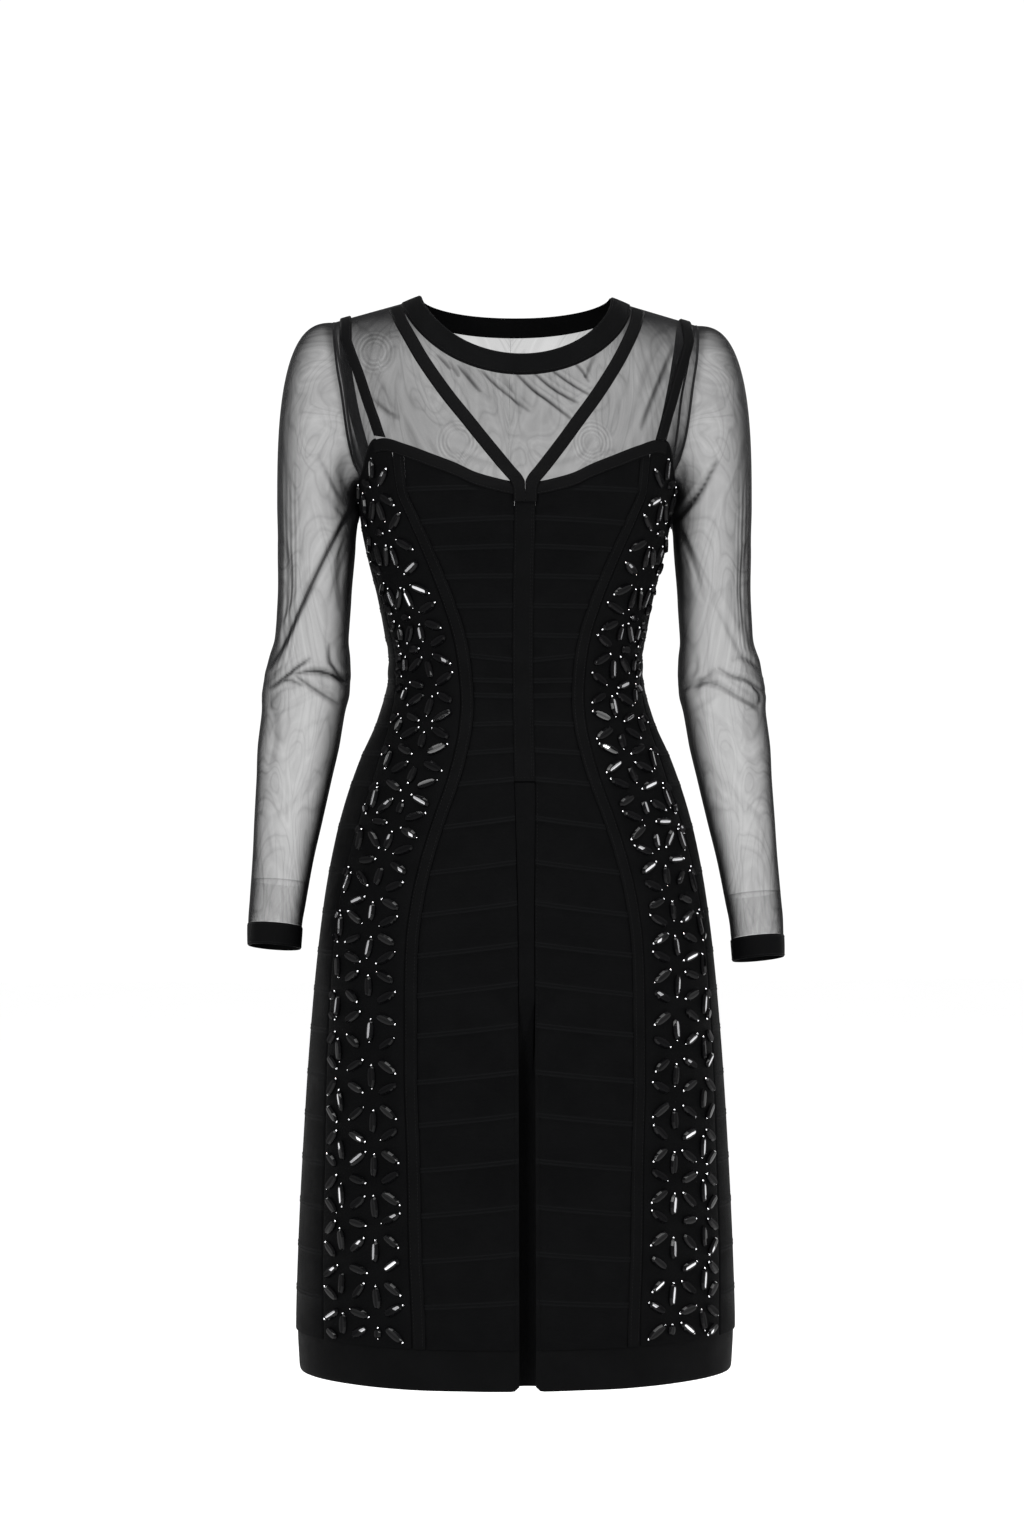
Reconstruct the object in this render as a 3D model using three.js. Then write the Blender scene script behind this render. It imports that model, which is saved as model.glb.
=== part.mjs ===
// Fitted and flared evening dress with a sheer yoke, sheer long sleeves and two beaded panels.
// Millimetres. +Z is up, the front faces -Y. The origin is the middle of the shoulder line.
import * as THREE from 'three';

// Cloth thicknesses and seam gaps
const PANEL_WALL = 1.4;
const NET_WALL = 1.0;
const BAND_WALL = 1.8;
const SEAM_GAP = 0.3;
const TRIM_LIFT = 1.7;
const TRIM_WALL = 1.2;

// Widths of the narrow pieces
const FRONT_BAND_HALF = 9.0;
const PRINCESS_WIDTH = 11.5;
const BINDING_WIDTH = 11.5;
const STRAP_WIDTH = 11.5;
const STRAP_RISE = 1.7;
const SHOULDER_WIDTH = 10.0;
const SHOULDER_RISE = 1.0;
const CUFF_HEIGHT = 19.5;

// Raised strips across the panels
const STRIP_HALF = 2.1;
const STRIP_FLANK = 0.5;
const STRIP_RISE = 0.8;

// Heights
const SHELL_HEM = -901.0;
const HEM_BOTTOM = -937.0;
const HEM_LAP = 10.0;
const BAND_END = -413.0;
const UNDERLAY_TOP = -392.0;
const UNDERLAY_BOTTOM = -931.0;

// Beads
const BEAD_LENGTH = 20.5;
const BEAD_WIDTH = 7.2;
const BEAD_RISE = 3.0;
const BEAD_CLEAR = 6.6;
const BEAD_SHORTEST = 9.0;

// Body form
const SQUARENESS = 2.2;
const RIDGE = 45.0;
const SECTIONS = {
  columns: ['z', 'half', 'front', 'back'],
  rows: [
    [25, 190, 40, 46], [0, 190, 50, 58], [-20, 187, 60, 67], [-47, 181, 72, 77], [-60, 178, 78, 81],
    [-80, 170.5, 87, 85], [-107, 160, 100, 87], [-120, 152, 106, 88], [-136, 144.4, 112, 88],
    [-151, 141.8, 116, 87], [-160, 141, 118, 86.5], [-190, 136.5, 114, 84], [-214, 131.4, 105, 80],
    [-250, 122.4, 96, 76], [-286, 115.7, 92, 74], [-304, 113.4, 92, 74], [-322, 113.9, 93, 76],
    [-358, 122.9, 100, 86], [-394, 138.6, 110, 100], [-430, 151.2, 119, 110], [-466, 160.7, 125, 117],
    [-520, 170.6, 131, 123], [-592, 179, 137, 130], [-700, 187.2, 143, 138], [-844, 194.4, 149, 147],
    [-901, 195.8, 151, 149], [-945, 194, 150, 149],
  ],
};

// Distance of the princess seam from the centre front
const PRINCESS = {
  columns: ['z', 'x'],
  rows: [
    [-120, 103.6], [-156, 101], [-182, 90.6], [-207, 79], [-233, 67.6], [-259, 57.5], [-285, 49.3],
    [-305, 45.5], [-325, 43.4], [-342, 42.5], [-362, 43.8], [-386, 48.3], [-411, 55.2], [-445, 67.5],
    [-483, 79.5], [-518, 87.4], [-554, 92], [-588, 93.2], [-664, 93.3], [-740, 91], [-820, 89.5],
    [-901, 86.5],
  ],
};

// Upper edge of the bodice by degrees from the centre front
const BODICE_TOP = {
  columns: ['degrees', 'z'],
  rows: [
    [0, -154], [6.2, -152.5], [13, -149.3], [20.6, -144.5], [29, -136.2], [39.2, -127.6],
    [50.5, -118], [59.5, -111.9], [63.3, -113.4], [68, -124], [73.7, -138], [76.6, -143.5], [82.5, -150.4],
    [87, -153], [93, -153], [97.5, -150.4], [103.4, -146], [112, -148], [126, -152],
    [150, -157], [180, -159],
  ],
};

// Raised strips: height at the centre front and drop at the princess seam
const STRIPS = {
  columns: ['z', 'drop'],
  rows: [
    [-158, 0], [-184.1, 2.7], [-208.3, 1.7], [-234, 0.3], [-259.5, 0.2], [-285.2, 0.4], [-307, -4],
    [-325.4, -1], [-338.6, -1], [-362.2, 1.1], [-385.7, 2.6], [-410.9, 4.4], [-444.7, 8.1],
    [-482.6, 9.7], [-517.9, 11], [-553.2, 10.8], [-587.1, 11], [-622.7, 10.2], [-662.9, 9.7],
    [-699.7, 9.7], [-739.1, 9], [-778.4, 8.6], [-818.5, 7.4], [-859.9, 5],
  ],
};

// Bead lattice: distances of the two flower columns and of the far seam from the princess band
const LATTICE = {
  columns: ['z', 'inner', 'outer', 'width'],
  rows: [
    [-110, 25, 50, 78], [-156, 26, 52, 80], [-200, 29, 54, 82], [-240, 33, 54, 79],
    [-290, 28, 54, 76], [-325, 26, 56, 76], [-360, 30, 60, 78], [-447, 34, 68, 81],
    [-520, 36, 74, 85], [-600, 34, 73, 87], [-690, 30, 66, 90], [-901, 31, 69, 96],
  ],
};
const INNER_FLOWERS = [
  -115, -156.5, -195, -236, -268.5, -297, -332, -363.5, -392, -422.5, -450, -480, -512, -542, -574,
  -609, -650.5, -688.5, -728, -764, -799, -840.5, -878, -916,
];
const OUTER_FLOWERS = [
  -110, -151, -192, -234, -268.5, -297, -324, -350.5, -378, -409.5, -446.5, -483, -521.5, -559.5,
  -592, -627.5, -669.5, -715, -753.5, -793, -831, -868.5, -906,
];

// Armhole: distance of the seam from the centre
const ARMHOLE = {
  columns: ['z', 'x'],
  rows: [
    [-2.9, 163], [-34, 160], [-60, 155.5], [-100, 150], [-125, 144.6], [-141, 139], [-148, 140.9],
    [-151, 141.6],
  ],
};
const ARMHOLE_TOP = -2.9;
const ARMHOLE_LOW = -151;

// Sleeve rings: centre and half sizes
const SLEEVE = {
  columns: ['z', 'x', 'y', 'wide', 'deep'],
  rows: [
    [-165, 179.8, 2, 34.8, 40], [-196, 178.6, 3, 35.4, 40], [-250, 180.5, 5, 33.5, 37.5],
    [-286, 183, 7, 33.5, 36], [-320, 186.8, 8, 36.8, 36.5], [-340, 188.9, 8, 37.8, 37],
    [-376, 194, 6, 37.4, 36.5], [-412, 198.9, 3, 34.2, 34], [-448, 204, -2, 31, 32],
    [-484, 209, -8, 27.6, 29.5], [-520, 213.5, -14, 25.5, 27.5], [-542, 216, -18, 24.4, 26.2],
    [-585, 217, -24, 23.2, 25.4],
  ],
};
const SLEEVE_END = { left: -541, right: -553 };
const SHOULDER_ROUND = 3;
const ARM_TILT = 0.08;
const ARM_LEAN = 0.15;
const TILT_START = -390;

// Straps on the yoke: distance from the centre and height of their middle line
const HALTER = {
  columns: ['x', 'z'],
  rows: [
    [108.5, 7], [104.5, -6], [100.5, -15], [96, -24], [86.5, -41.8], [75, -60.4], [62.5, -78.8], [49, -97],
    [35.5, -115.4], [21.5, -133.7], [14.2, -143], [7.8, -151], [4.8, -158], [4.4, -164], [4.4, -170],
  ],
};
const SHOULDER_FRONT = {
  columns: ['x', 'z'],
  rows: [[123.4, -110.2], [125.6, -104], [129, -93], [133, -81.4], [142, -52.4], [148.5, -34], [152.5, -22]],
};
const SHOULDER_BACK = {
  columns: ['x', 'z'],
  rows: [[152, -22], [149, -45], [143, -75], [136, -100], [130, -120], [124.5, -143]],
};

// Neckline
const NECK = { half: 103, sideZ: 14.6, frontDip: 70.5, backDip: 22, power: 1.2 };
const NECK_TOP = { half: 85, sideZ: 22, frontDip: 58, backDip: 12, reach: 0.87 };
const SHOULDER_SLOPE = 0.286;

// Pleat under the centre front
const PLEAT_START = -421;
const PLEAT_FULL = -530;
const PLEAT_HEM_HALF = 7.2;
const PLEAT_DEPTH = 14;
const UNDERLAY_HALF = 30;
const CORNER = 7;

const rad = THREE.MathUtils.degToRad;
const lerp = THREE.MathUtils.lerp;
const clamp = THREE.MathUtils.clamp;

// Value of a named column, read smoothly between the rows of a table
function read(table, key, name) {
  const { columns, rows } = table;
  const col = columns.indexOf(name);
  const down = rows[0][0] > rows[rows.length - 1][0];
  const before = (a, b) => (down ? a >= b : a <= b);
  if (before(key, rows[0][0])) return rows[0][col];
  const last = rows.length - 1;
  if (before(rows[last][0], key)) return rows[last][col];
  let i = 0;
  while (!before(key, rows[i + 1][0])) i += 1;
  const slope = (k) => {
    if (k === 0 || k === last) return 0;
    const lower = (rows[k][col] - rows[k - 1][col]) / (rows[k][0] - rows[k - 1][0]);
    const upper = (rows[k + 1][col] - rows[k][col]) / (rows[k + 1][0] - rows[k][0]);
    return lower * upper > 0 ? (2 * lower * upper) / (lower + upper) : 0;
  };
  const h = rows[i + 1][0] - rows[i][0];
  const t = (key - rows[i][0]) / h;
  const a = 2 * t ** 3 - 3 * t ** 2 + 1;
  const b = t ** 3 - 2 * t ** 2 + t;
  const c = -2 * t ** 3 + 3 * t ** 2;
  const d = t ** 3 - t ** 2;
  return a * rows[i][col] + b * h * slope(i) + c * rows[i + 1][col] + d * h * slope(i + 1);
}

// A closed body collected from points
class Body {
  constructor() {
    this.points = [];
    this.keys = new Map();
    this.faces = [];
  }

  index(p) {
    const key = `${p.x.toFixed(4)},${p.y.toFixed(4)},${p.z.toFixed(4)}`;
    if (!this.keys.has(key)) {
      this.keys.set(key, this.points.length);
      this.points.push(p);
    }
    return this.keys.get(key);
  }

  tri(a, b, c) {
    const [i, j, k] = [this.index(a), this.index(b), this.index(c)];
    if (i !== j && j !== k && k !== i) this.faces.push(i, j, k);
  }

  // Surface through rows that run downwards, columns to the right as seen from outside
  grid(rows, inside = false) {
    for (let r = 0; r + 1 < rows.length; r += 1) {
      for (let c = 0; c + 1 < rows[r].length; c += 1) {
        const [p, q] = [rows[r][c], rows[r][c + 1]];
        const [s, t] = [rows[r + 1][c], rows[r + 1][c + 1]];
        if (inside) {
          this.tri(p, t, s);
          this.tri(p, q, t);
        } else {
          this.tri(p, s, t);
          this.tri(p, t, q);
        }
      }
    }
  }

  // Edge strip between an outer line and an inner line
  zip(outer, inner) {
    let i = 0;
    let k = 0;
    while (i + 1 < outer.length || k + 1 < inner.length) {
      const canOuter = i + 1 < outer.length;
      const canInner = k + 1 < inner.length;
      const outerCost = canOuter ? outer[i + 1].distanceTo(inner[k]) : Infinity;
      const innerCost = canInner ? outer[i].distanceTo(inner[k + 1]) : Infinity;
      if (outerCost <= innerCost) {
        this.tri(outer[i + 1], outer[i], inner[k]);
        i += 1;
      } else {
        this.tri(outer[i], inner[k], inner[k + 1]);
        k += 1;
      }
    }
  }

  // Wall between two grids that share their corner columns
  wall(outer, inner) {
    this.grid(outer);
    this.grid(inner, true);
    const left = (rows) => rows.map((row) => row[0]);
    const right = (rows) => rows.map((row) => row[row.length - 1]).reverse();
    const bottom = (rows) => rows[rows.length - 1];
    const top = (rows) => [...rows[0]].reverse();
    for (const side of [left, bottom, right, top]) this.zip(side(outer), side(inner));
    return this;
  }

  // Open tube between outer and inner rings
  tube(outer, inner) {
    const closed = (rows) => rows.map((row) => [...row, row[0]]);
    const [o, i] = [closed(outer), closed(inner)];
    this.grid(o);
    this.grid(i, true);
    this.zip([...o[0]].reverse(), [...i[0]].reverse());
    this.zip(o[o.length - 1], i[i.length - 1]);
    return this;
  }

  geometry() {
    const geometry = new THREE.BufferGeometry();
    geometry.setAttribute('position', new THREE.Float32BufferAttribute(this.points.flatMap((p) => p.toArray()), 3));
    geometry.setIndex(this.faces);
    geometry.computeVertexNormals();
    return geometry;
  }
}

// Body form below the shoulders, by angle from the front, height and lift from the form
function form(angle, z, lift) {
  const half = read(SECTIONS, z, 'half') + lift;
  const depth = read(SECTIONS, z, Math.cos(angle) > 0 ? 'front' : 'back') + lift;
  const across = (Math.abs(Math.sin(angle)) / half) ** SQUARENESS;
  const along = (Math.abs(Math.cos(angle)) / depth) ** SQUARENESS;
  const radius = (across + along) ** (-1 / SQUARENESS);
  return new THREE.Vector3(radius * Math.sin(angle), -radius * Math.cos(angle), z);
}

const radiusAt = (angle, z) => Math.hypot(form(angle, z, 0).x, form(angle, z, 0).y);

function angleAtX(x, z) {
  const half = read(SECTIONS, z, 'half');
  const depth = read(SECTIONS, z, 'front') * (1 - (Math.abs(x) / half) ** SQUARENESS) ** (1 / SQUARENESS);
  return Math.atan2(x, depth);
}

// Angle that lies a given length of cloth further round at one height
function angleAlong(start, length, z) {
  const step = rad(1);
  let angle = start;
  let from = form(angle, z, 0);
  let left = length;
  while (left > 0) {
    const to = form(angle + step, z, 0);
    const piece = from.distanceTo(to);
    if (piece >= left) return angle + (step * left) / piece;
    left -= piece;
    angle += step;
    from = to;
  }
  return angle;
}

const stripAt = (index) => ({ z: STRIPS.rows[index][0], drop: STRIPS.rows[index][1] });
const bodiceTop = (angle) => read(BODICE_TOP, THREE.MathUtils.radToDeg(angle), 'z');
const panelTop = (angle) => bodiceTop(angle) - (angle < rad(63.3) ? BINDING_WIDTH / 2 : 0);

// Levels of a panel, from its upper edge to the hem of the outer layer
function fineLevels() {
  const levels = [{ kind: 'top' }, { kind: 'upper' }];
  STRIPS.rows.forEach((row, index) => {
    for (const [offset, rise] of [
      [STRIP_HALF + STRIP_FLANK, 0],
      [STRIP_HALF, STRIP_RISE],
      [-STRIP_HALF, STRIP_RISE],
      [-STRIP_HALF - STRIP_FLANK, 0],
    ]) levels.push({ kind: 'strip', index, offset, rise });
  });
  levels.push({ kind: 'hem' });
  return levels;
}

function plainLevels() {
  const levels = [{ kind: 'top' }, { kind: 'upper' }];
  STRIPS.rows.forEach((row, index) => levels.push({ kind: 'strip', index, offset: 0, rise: 0 }));
  levels.push({ kind: 'hem' });
  return levels;
}

// Height of a level where the share of its drop is given
function levelHeight(level, share, angle) {
  if (level.kind === 'top') return panelTop(angle);
  if (level.kind === 'hem') return SHELL_HEM;
  if (level.kind === 'upper') {
    const first = { kind: 'strip', index: 0, offset: STRIP_HALF + STRIP_FLANK };
    return lerp(panelTop(angle), levelHeight(first, share, angle), 0.45);
  }
  const { z, drop } = stripAt(level.index);
  const height = z - drop * share + level.offset;
  const room = 4 + 1.2 * level.index - level.offset;
  return level.index < 2 ? Math.min(height, panelTop(angle) - room) : height;
}

function levelRise(level, z, angle) {
  if (!level.rise) return 0;
  const covered = angle < rad(63.3) ? BINDING_WIDTH + 3 : 3;
  return z < bodiceTop(angle) - covered ? level.rise : 0;
}

const princessX = (z) => read(PRINCESS, z, 'x');
const gapAngle = (angle, z) => SEAM_GAP / 2 / radiusAt(angle, z);

function bandInner(z) {
  const angle = angleAtX(princessX(z), z);
  return angle + gapAngle(angle, z);
}

function bandOuter(z) {
  return angleAlong(bandInner(z), PRINCESS_WIDTH, z);
}

function beadInner(z) {
  const angle = bandOuter(z);
  return angle + 3 * gapAngle(angle, z);
}

function beadOuter(z) {
  return angleAlong(beadInner(z), read(LATTICE, z, 'width'), z);
}

function pleatEdge(z) {
  const share = clamp((PLEAT_START - z) / (PLEAT_START - PLEAT_FULL), 0, 1);
  return lerp(FRONT_BAND_HALF + SEAM_GAP / 2, PLEAT_HEM_HALF, share);
}

// Rows of one panel between two seams that are given as angles by height
function panelRows(levels, from, to, count, share, lift) {
  return levels.map((level) => {
    const row = [];
    for (let c = 0; c <= count; c += 1) {
      const u = c / count;
      let z = level.kind === 'hem' ? SHELL_HEM : -400;
      let angle = 0;
      for (let turn = 0; turn < 12; turn += 1) {
        angle = lerp(from(z), to(z), u);
        z = levelHeight(level, share(u), angle);
      }
      row.push(form(angle, z, lift + (lift > 0 ? levelRise(level, z, angle) : 0)));
    }
    return row;
  });
}

function mirrored(rows) {
  return rows.map((row) => row.map((p) => new THREE.Vector3(-p.x, p.y, p.z)).reverse());
}

const SIDES = ['left', 'right'];
const onSide = (rows, side) => (side === 'right' ? rows : mirrored(rows));

// Front panels, princess bands and side and back panels
function frontPanel(side) {
  const from = (z) => angleAtX(pleatEdge(z), z);
  const to = (z) => bandInner(z) - 2 * gapAngle(bandInner(z), z);
  const outer = panelRows(fineLevels(), from, to, 3, (u) => u, PANEL_WALL);
  const inner = panelRows(plainLevels(), from, to, 3, (u) => u, 0);
  return new Body().wall(onSide(outer, side), onSide(inner, side));
}

function princessBand(side) {
  const outer = panelRows(fineLevels(), bandInner, bandOuter, 1, () => 1, PANEL_WALL)
    .map((row) => row.map((p) => {
      const angle = Math.atan2(p.x, -p.y);
      const open = p.z < bodiceTop(angle) - BINDING_WIDTH - 2;
      return form(angle, p.z, PANEL_WALL + (open ? 0.3 : -0.2));
    }));
  const inner = panelRows(plainLevels(), bandInner, bandOuter, 1, () => 1, 0);
  return new Body().wall(onSide(outer, side), onSide(inner, side));
}

function backPanel(side) {
  const from = (z) => beadOuter(z) + 3.6 * gapAngle(beadOuter(z), z);
  const to = (z) => Math.PI - gapAngle(Math.PI, z);
  const outer = panelRows(plainLevels(), from, to, 9, () => 1, PANEL_WALL);
  const inner = panelRows(plainLevels(), from, to, 9, () => 1, 0);
  return new Body().wall(onSide(outer, side), onSide(inner, side));
}

// Columns of lattice points, the first and last on the panel's own edges
function latticeColumn(column) {
  const flowers = column < 2 ? INNER_FLOWERS : OUTER_FLOWERS;
  const halfway = flowers.slice(1).map((z, i) => (z + flowers[i]) / 2);
  const heights = column === 0 || column === 3 ? halfway : flowers;
  const distance = (z) => {
    if (column === 0) return 0;
    return read(LATTICE, z, ['', 'inner', 'outer', 'width'][column]);
  };
  let top = -120;
  for (let turn = 0; turn < 30; turn += 1) {
    top = lerp(top, panelTop(angleAlong(beadInner(top), distance(top), top)), 0.5);
  }
  const points = [{ s: distance(top), z: top, column, edge: 'top' }];
  for (const z of heights) {
    if (z < top - 11 && z > SHELL_HEM + 12) points.push({ s: distance(z), z, column, edge: '' });
  }
  points.push({ s: distance(SHELL_HEM), z: SHELL_HEM, column, edge: 'hem' });
  return points;
}

const beadPoint = (s, z, lift) => form(angleAlong(beadInner(z), s, z), z, lift);
const between = (a, b, t) => ({ s: lerp(a.s, b.s, t), z: lerp(a.z, b.z, t) });

// Line of points along one lattice edge, with its bead's ridge if it has one
function latticeEdge(a, b) {
  const ordered = a.column < b.column || (a.column === b.column && a.z >= b.z) ? [a, b] : [b, a];
  const [p, q] = ordered;
  const length = Math.hypot(p.s - q.s, p.z - q.z);
  const size = Math.min(BEAD_LENGTH, length - 2 * BEAD_CLEAR);
  const onSeam = p.column === q.column && (p.column === 0 || p.column === 3);
  const onEnd = p.edge !== '' && p.edge === q.edge;
  const angle = angleAlong(beadInner(p.z), p.s, p.z);
  const cover = bodiceTop(angle) - (angle < rad(64) ? BINDING_WIDTH + 1 : 1);
  const reach = (Math.max(p.z, q.z) - Math.min(p.z, q.z)) * 0.5 * (size / length);
  const covered = (p.z + q.z) / 2 + reach > cover;
  const hasBead = !onSeam && !onEnd && !covered && size >= BEAD_SHORTEST;
  const share = hasBead ? size / length : 0.5;
  const at = (t) => between(p, q, 0.5 + share * (t - 0.5));
  const flat = [at(0), at(0.5), at(1)];
  for (const point of flat) {
    if (onSeam) {
      const width = read(LATTICE, point.z, 'width');
      point.s = p.column === 0 ? 0 : width;
    }
    if (onEnd && p.edge === 'hem') point.z = SHELL_HEM;
    if (onEnd && p.edge === 'top') {
      for (let turn = 0; turn < 30; turn += 1) {
        point.z = lerp(point.z, panelTop(angleAlong(beadInner(point.z), point.s, point.z)), 0.5);
      }
    }
  }
  const rise = [0, BEAD_RISE, 0];
  const line = flat.map((point, i) => beadPoint(point.s, point.z, PANEL_WALL + (hasBead ? rise[i] : 0)));
  const middle = at(0.5);
  const normal = { s: -(q.z - p.z) / length, z: (q.s - p.s) / length };
  return { line: p === a ? line : [...line].reverse(), middle, normal, boundary: onSeam || onEnd };
}

// One lattice triangle: the halves of its three beads and the cloth between them
function latticeFace(body, corners) {
  const centre = {
    s: (corners[0].s + corners[1].s + corners[2].s) / 3,
    z: (corners[0].z + corners[1].z + corners[2].z) / 3,
  };
  const edges = corners.map((a, i) => {
    const { line, middle, normal, boundary } = latticeEdge(a, corners[(i + 1) % 3]);
    let side = line[1];
    if (!boundary) {
      const towards = Math.sign((centre.s - middle.s) * normal.s + (centre.z - middle.z) * normal.z);
      const reach = (towards * BEAD_WIDTH) / 2;
      side = beadPoint(middle.s + normal.s * reach, middle.z + normal.z * reach, PANEL_WALL);
      body.tri(line[0], line[1], side);
      body.tri(line[1], line[2], side);
    }
    return { start: line[0], side, end: line[2] };
  });
  edges.forEach((edge, i) => {
    const corner = corners[(i + 1) % 3];
    const next = edges[(i + 1) % 3];
    body.tri(edge.end, beadPoint(corner.s, corner.z, PANEL_WALL), next.start);
    body.tri(edge.side, edge.end, next.start);
    body.tri(edge.side, next.start, next.side);
  });
  body.tri(edges[0].side, edges[1].side, edges[2].side);
}

function beadPanel() {
  const body = new Body();
  const columns = [0, 1, 2, 3].map(latticeColumn);
  for (let c = 0; c < 3; c += 1) {
    const [a, b] = [columns[c], columns[c + 1]];
    let i = 0;
    let k = 0;
    while (i + 1 < a.length || k + 1 < b.length) {
      const reach = (p, q) => Math.hypot(p.s - q.s, p.z - q.z);
      const downA = i + 1 < a.length ? reach(a[i + 1], b[k]) : Infinity;
      const downB = k + 1 < b.length ? reach(a[i], b[k + 1]) : Infinity;
      if (downA <= downB) {
        latticeFace(body, [a[i], a[i + 1], b[k]]);
        i += 1;
      } else {
        latticeFace(body, [a[i], b[k + 1], b[k]]);
        k += 1;
      }
    }
  }
  const inner = panelRows(plainLevels(), beadInner, beadOuter, 4, () => 1, 0);
  body.grid(inner, true);
  const chain = (points, straight) => {
    const line = [];
    points.slice(0, -1).forEach((a, i) => {
      line.push(beadPoint(a.s, a.z, PANEL_WALL), ...straight(a, points[i + 1]));
    });
    const end = points[points.length - 1];
    line.push(beadPoint(end.s, end.z, PANEL_WALL));
    return line;
  };
  const along = (a, b) => latticeEdge(a, b).line;
  const firsts = columns.map((column) => column[0]);
  const lasts = columns.map((column) => column[column.length - 1]);
  body.zip(chain(columns[0], along), inner.map((row) => row[0]));
  body.zip(chain(lasts, along), inner[inner.length - 1]);
  body.zip(chain(columns[3], along).reverse(), inner.map((row) => row[row.length - 1]).reverse());
  body.zip(chain(firsts, along).reverse(), [...inner[0]].reverse());
  return body;
}

function flipBody(body) {
  const flipped = new Body();
  for (let i = 0; i < body.faces.length; i += 3) {
    const [a, b, c] = body.faces.slice(i, i + 3).map((k) => body.points[k]);
    const turn = (p) => new THREE.Vector3(-p.x, p.y, p.z);
    flipped.tri(turn(a), turn(c), turn(b));
  }
  return flipped;
}

// Centre front band, pleat underlay and hem band
function centreBand() {
  const heights = [];
  for (let z = -166; z > BAND_END + 10; z -= 22) heights.push(z);
  heights.push(BAND_END);
  const line = (lift) => heights.map((height, r) => [-1, 0, 1].map((share) => {
    const x = share * FRONT_BAND_HALF;
    const top = panelTop(angleAtX(Math.abs(x), -160));
    const z = r === 0 ? top : height;
    return form(angleAtX(x, z), z, lift);
  }));
  return new Body().wall(line(PANEL_WALL), line(0));
}

function underlay() {
  const rows = (wall) => {
    const lines = [];
    for (let r = 0; r <= 11; r += 1) {
      const z = lerp(UNDERLAY_TOP, UNDERLAY_BOTTOM, r / 11);
      const open = clamp((UNDERLAY_TOP - z) / 300, 0, 1);
      const sunk = lerp(0.5, 2.6, clamp((UNDERLAY_TOP - z) / 200, 0, 1));
      lines.push([-1, -0.65, -0.3, 0, 0.3, 0.65, 1].map((share) => {
        const dip = PLEAT_DEPTH * open * Math.max(0, 1 - (share * 1.1) ** 2);
        const x = share * UNDERLAY_HALF;
        return form(angleAtX(x, z), z, -sunk - dip - wall);
      }));
    }
    return lines;
  };
  return new Body().wall(rows(0), rows(PANEL_WALL));
}

function hemBand() {
  const seams = (z) => {
    const spans = [
      [angleAtX(pleatEdge(z), z), bandInner(z), 3],
      [bandInner(z), bandOuter(z), 1],
      [beadInner(z), beadOuter(z), 4],
      [beadOuter(z), Math.PI, 9],
    ];
    const angles = [spans[0][0]];
    for (const [from, to, count] of spans) {
      for (let c = 1; c <= count; c += 1) angles.push(lerp(from, to, c / count));
    }
    return [...angles, ...angles.slice(0, -1).reverse().map((angle) => 2 * Math.PI - angle)];
  };
  const heights = [SHELL_HEM + HEM_LAP, HEM_BOTTOM + CORNER, HEM_BOTTOM];
  const line = (lift) => heights.map((height) => {
    const angles = seams(Math.max(height, SHELL_HEM));
    return angles.map((angle, c) => {
      const corner = height === HEM_BOTTOM && (c === 0 || c === angles.length - 1);
      return form(angle, corner ? height + CORNER * 0.6 : height, lift);
    });
  });
  return new Body().wall(line(-SEAM_GAP), line(-SEAM_GAP - PANEL_WALL));
}

// Yoke and shoulder surface by distance from the centre and height
const shoulderZ = (x) => NECK.sideZ - (Math.abs(x) - NECK.half) * SHOULDER_SLOPE;

function yokePoint(x, z, back) {
  const half = read(SECTIONS, z, 'half');
  const depth = read(SECTIONS, z, back ? 'back' : 'front');
  const across = Math.max(0, 1 - (Math.abs(x) / half) ** SQUARENESS) ** (1 / SQUARENESS);
  const below = clamp((shoulderZ(x) - z) / RIDGE, 0, 1);
  const ridge = Math.sqrt(1 - (1 - below) ** 2);
  const y = Math.max(SEAM_GAP / 2, depth * across * ridge);
  return new THREE.Vector3(x, back ? y : -y, z);
}

function neckEdge(turn, back, grow) {
  const cosine = Math.cos(turn) ** NECK.power;
  const x = (NECK.half + grow) * Math.sin(turn);
  const z = NECK.sideZ - grow * SHOULDER_SLOPE - ((back ? NECK.backDip : NECK.frontDip) + grow) * cosine;
  return { x, z };
}

// Point of the yoke's cloth by share across (0 centre, 1 armhole) and share down
const NECK_SHARE = 0.75;
const NECK_GAP = 0.5;
function yokePlace(across, down, back) {
  let top;
  if (across <= NECK_SHARE) {
    top = neckEdge((Math.PI / 2) * (across / NECK_SHARE), back, NECK_GAP);
  } else {
    const x = lerp(NECK.half + NECK_GAP, ARMHOLE.rows[0][1], (across - NECK_SHARE) / (1 - NECK_SHARE));
    top = { x, z: shoulderZ(x) - 0.001 };
  }
  const corner = rad(back ? 103.4 : 75.2);
  const centre = back ? Math.PI - 0.001 : 0;
  const angle = lerp(centre, corner, across ** 0.9);
  const lift = Math.abs(angle - Math.PI / 2) < rad(28) ? 3.2 : 1.3;
  const foot = form(angle, panelTop(angle) + lift, 0);
  const depth = down ** 2;
  const z = lerp(top.z, foot.z, depth);
  let x = lerp(top.x, foot.x, depth);
  if (across > NECK_SHARE) {
    const share = ((across - NECK_SHARE) / (1 - NECK_SHARE)) ** 2;
    const low = form(corner, panelTop(corner) + 3.2, 0);
    const straight = lerp(ARMHOLE.rows[0][1], low.x, clamp((ARMHOLE_TOP - z) / (ARMHOLE_TOP - low.z), 0, 1));
    x += share * (read(ARMHOLE, z, 'x') - SEAM_GAP / 2 - straight);
  }
  return { x, z };
}

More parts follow.
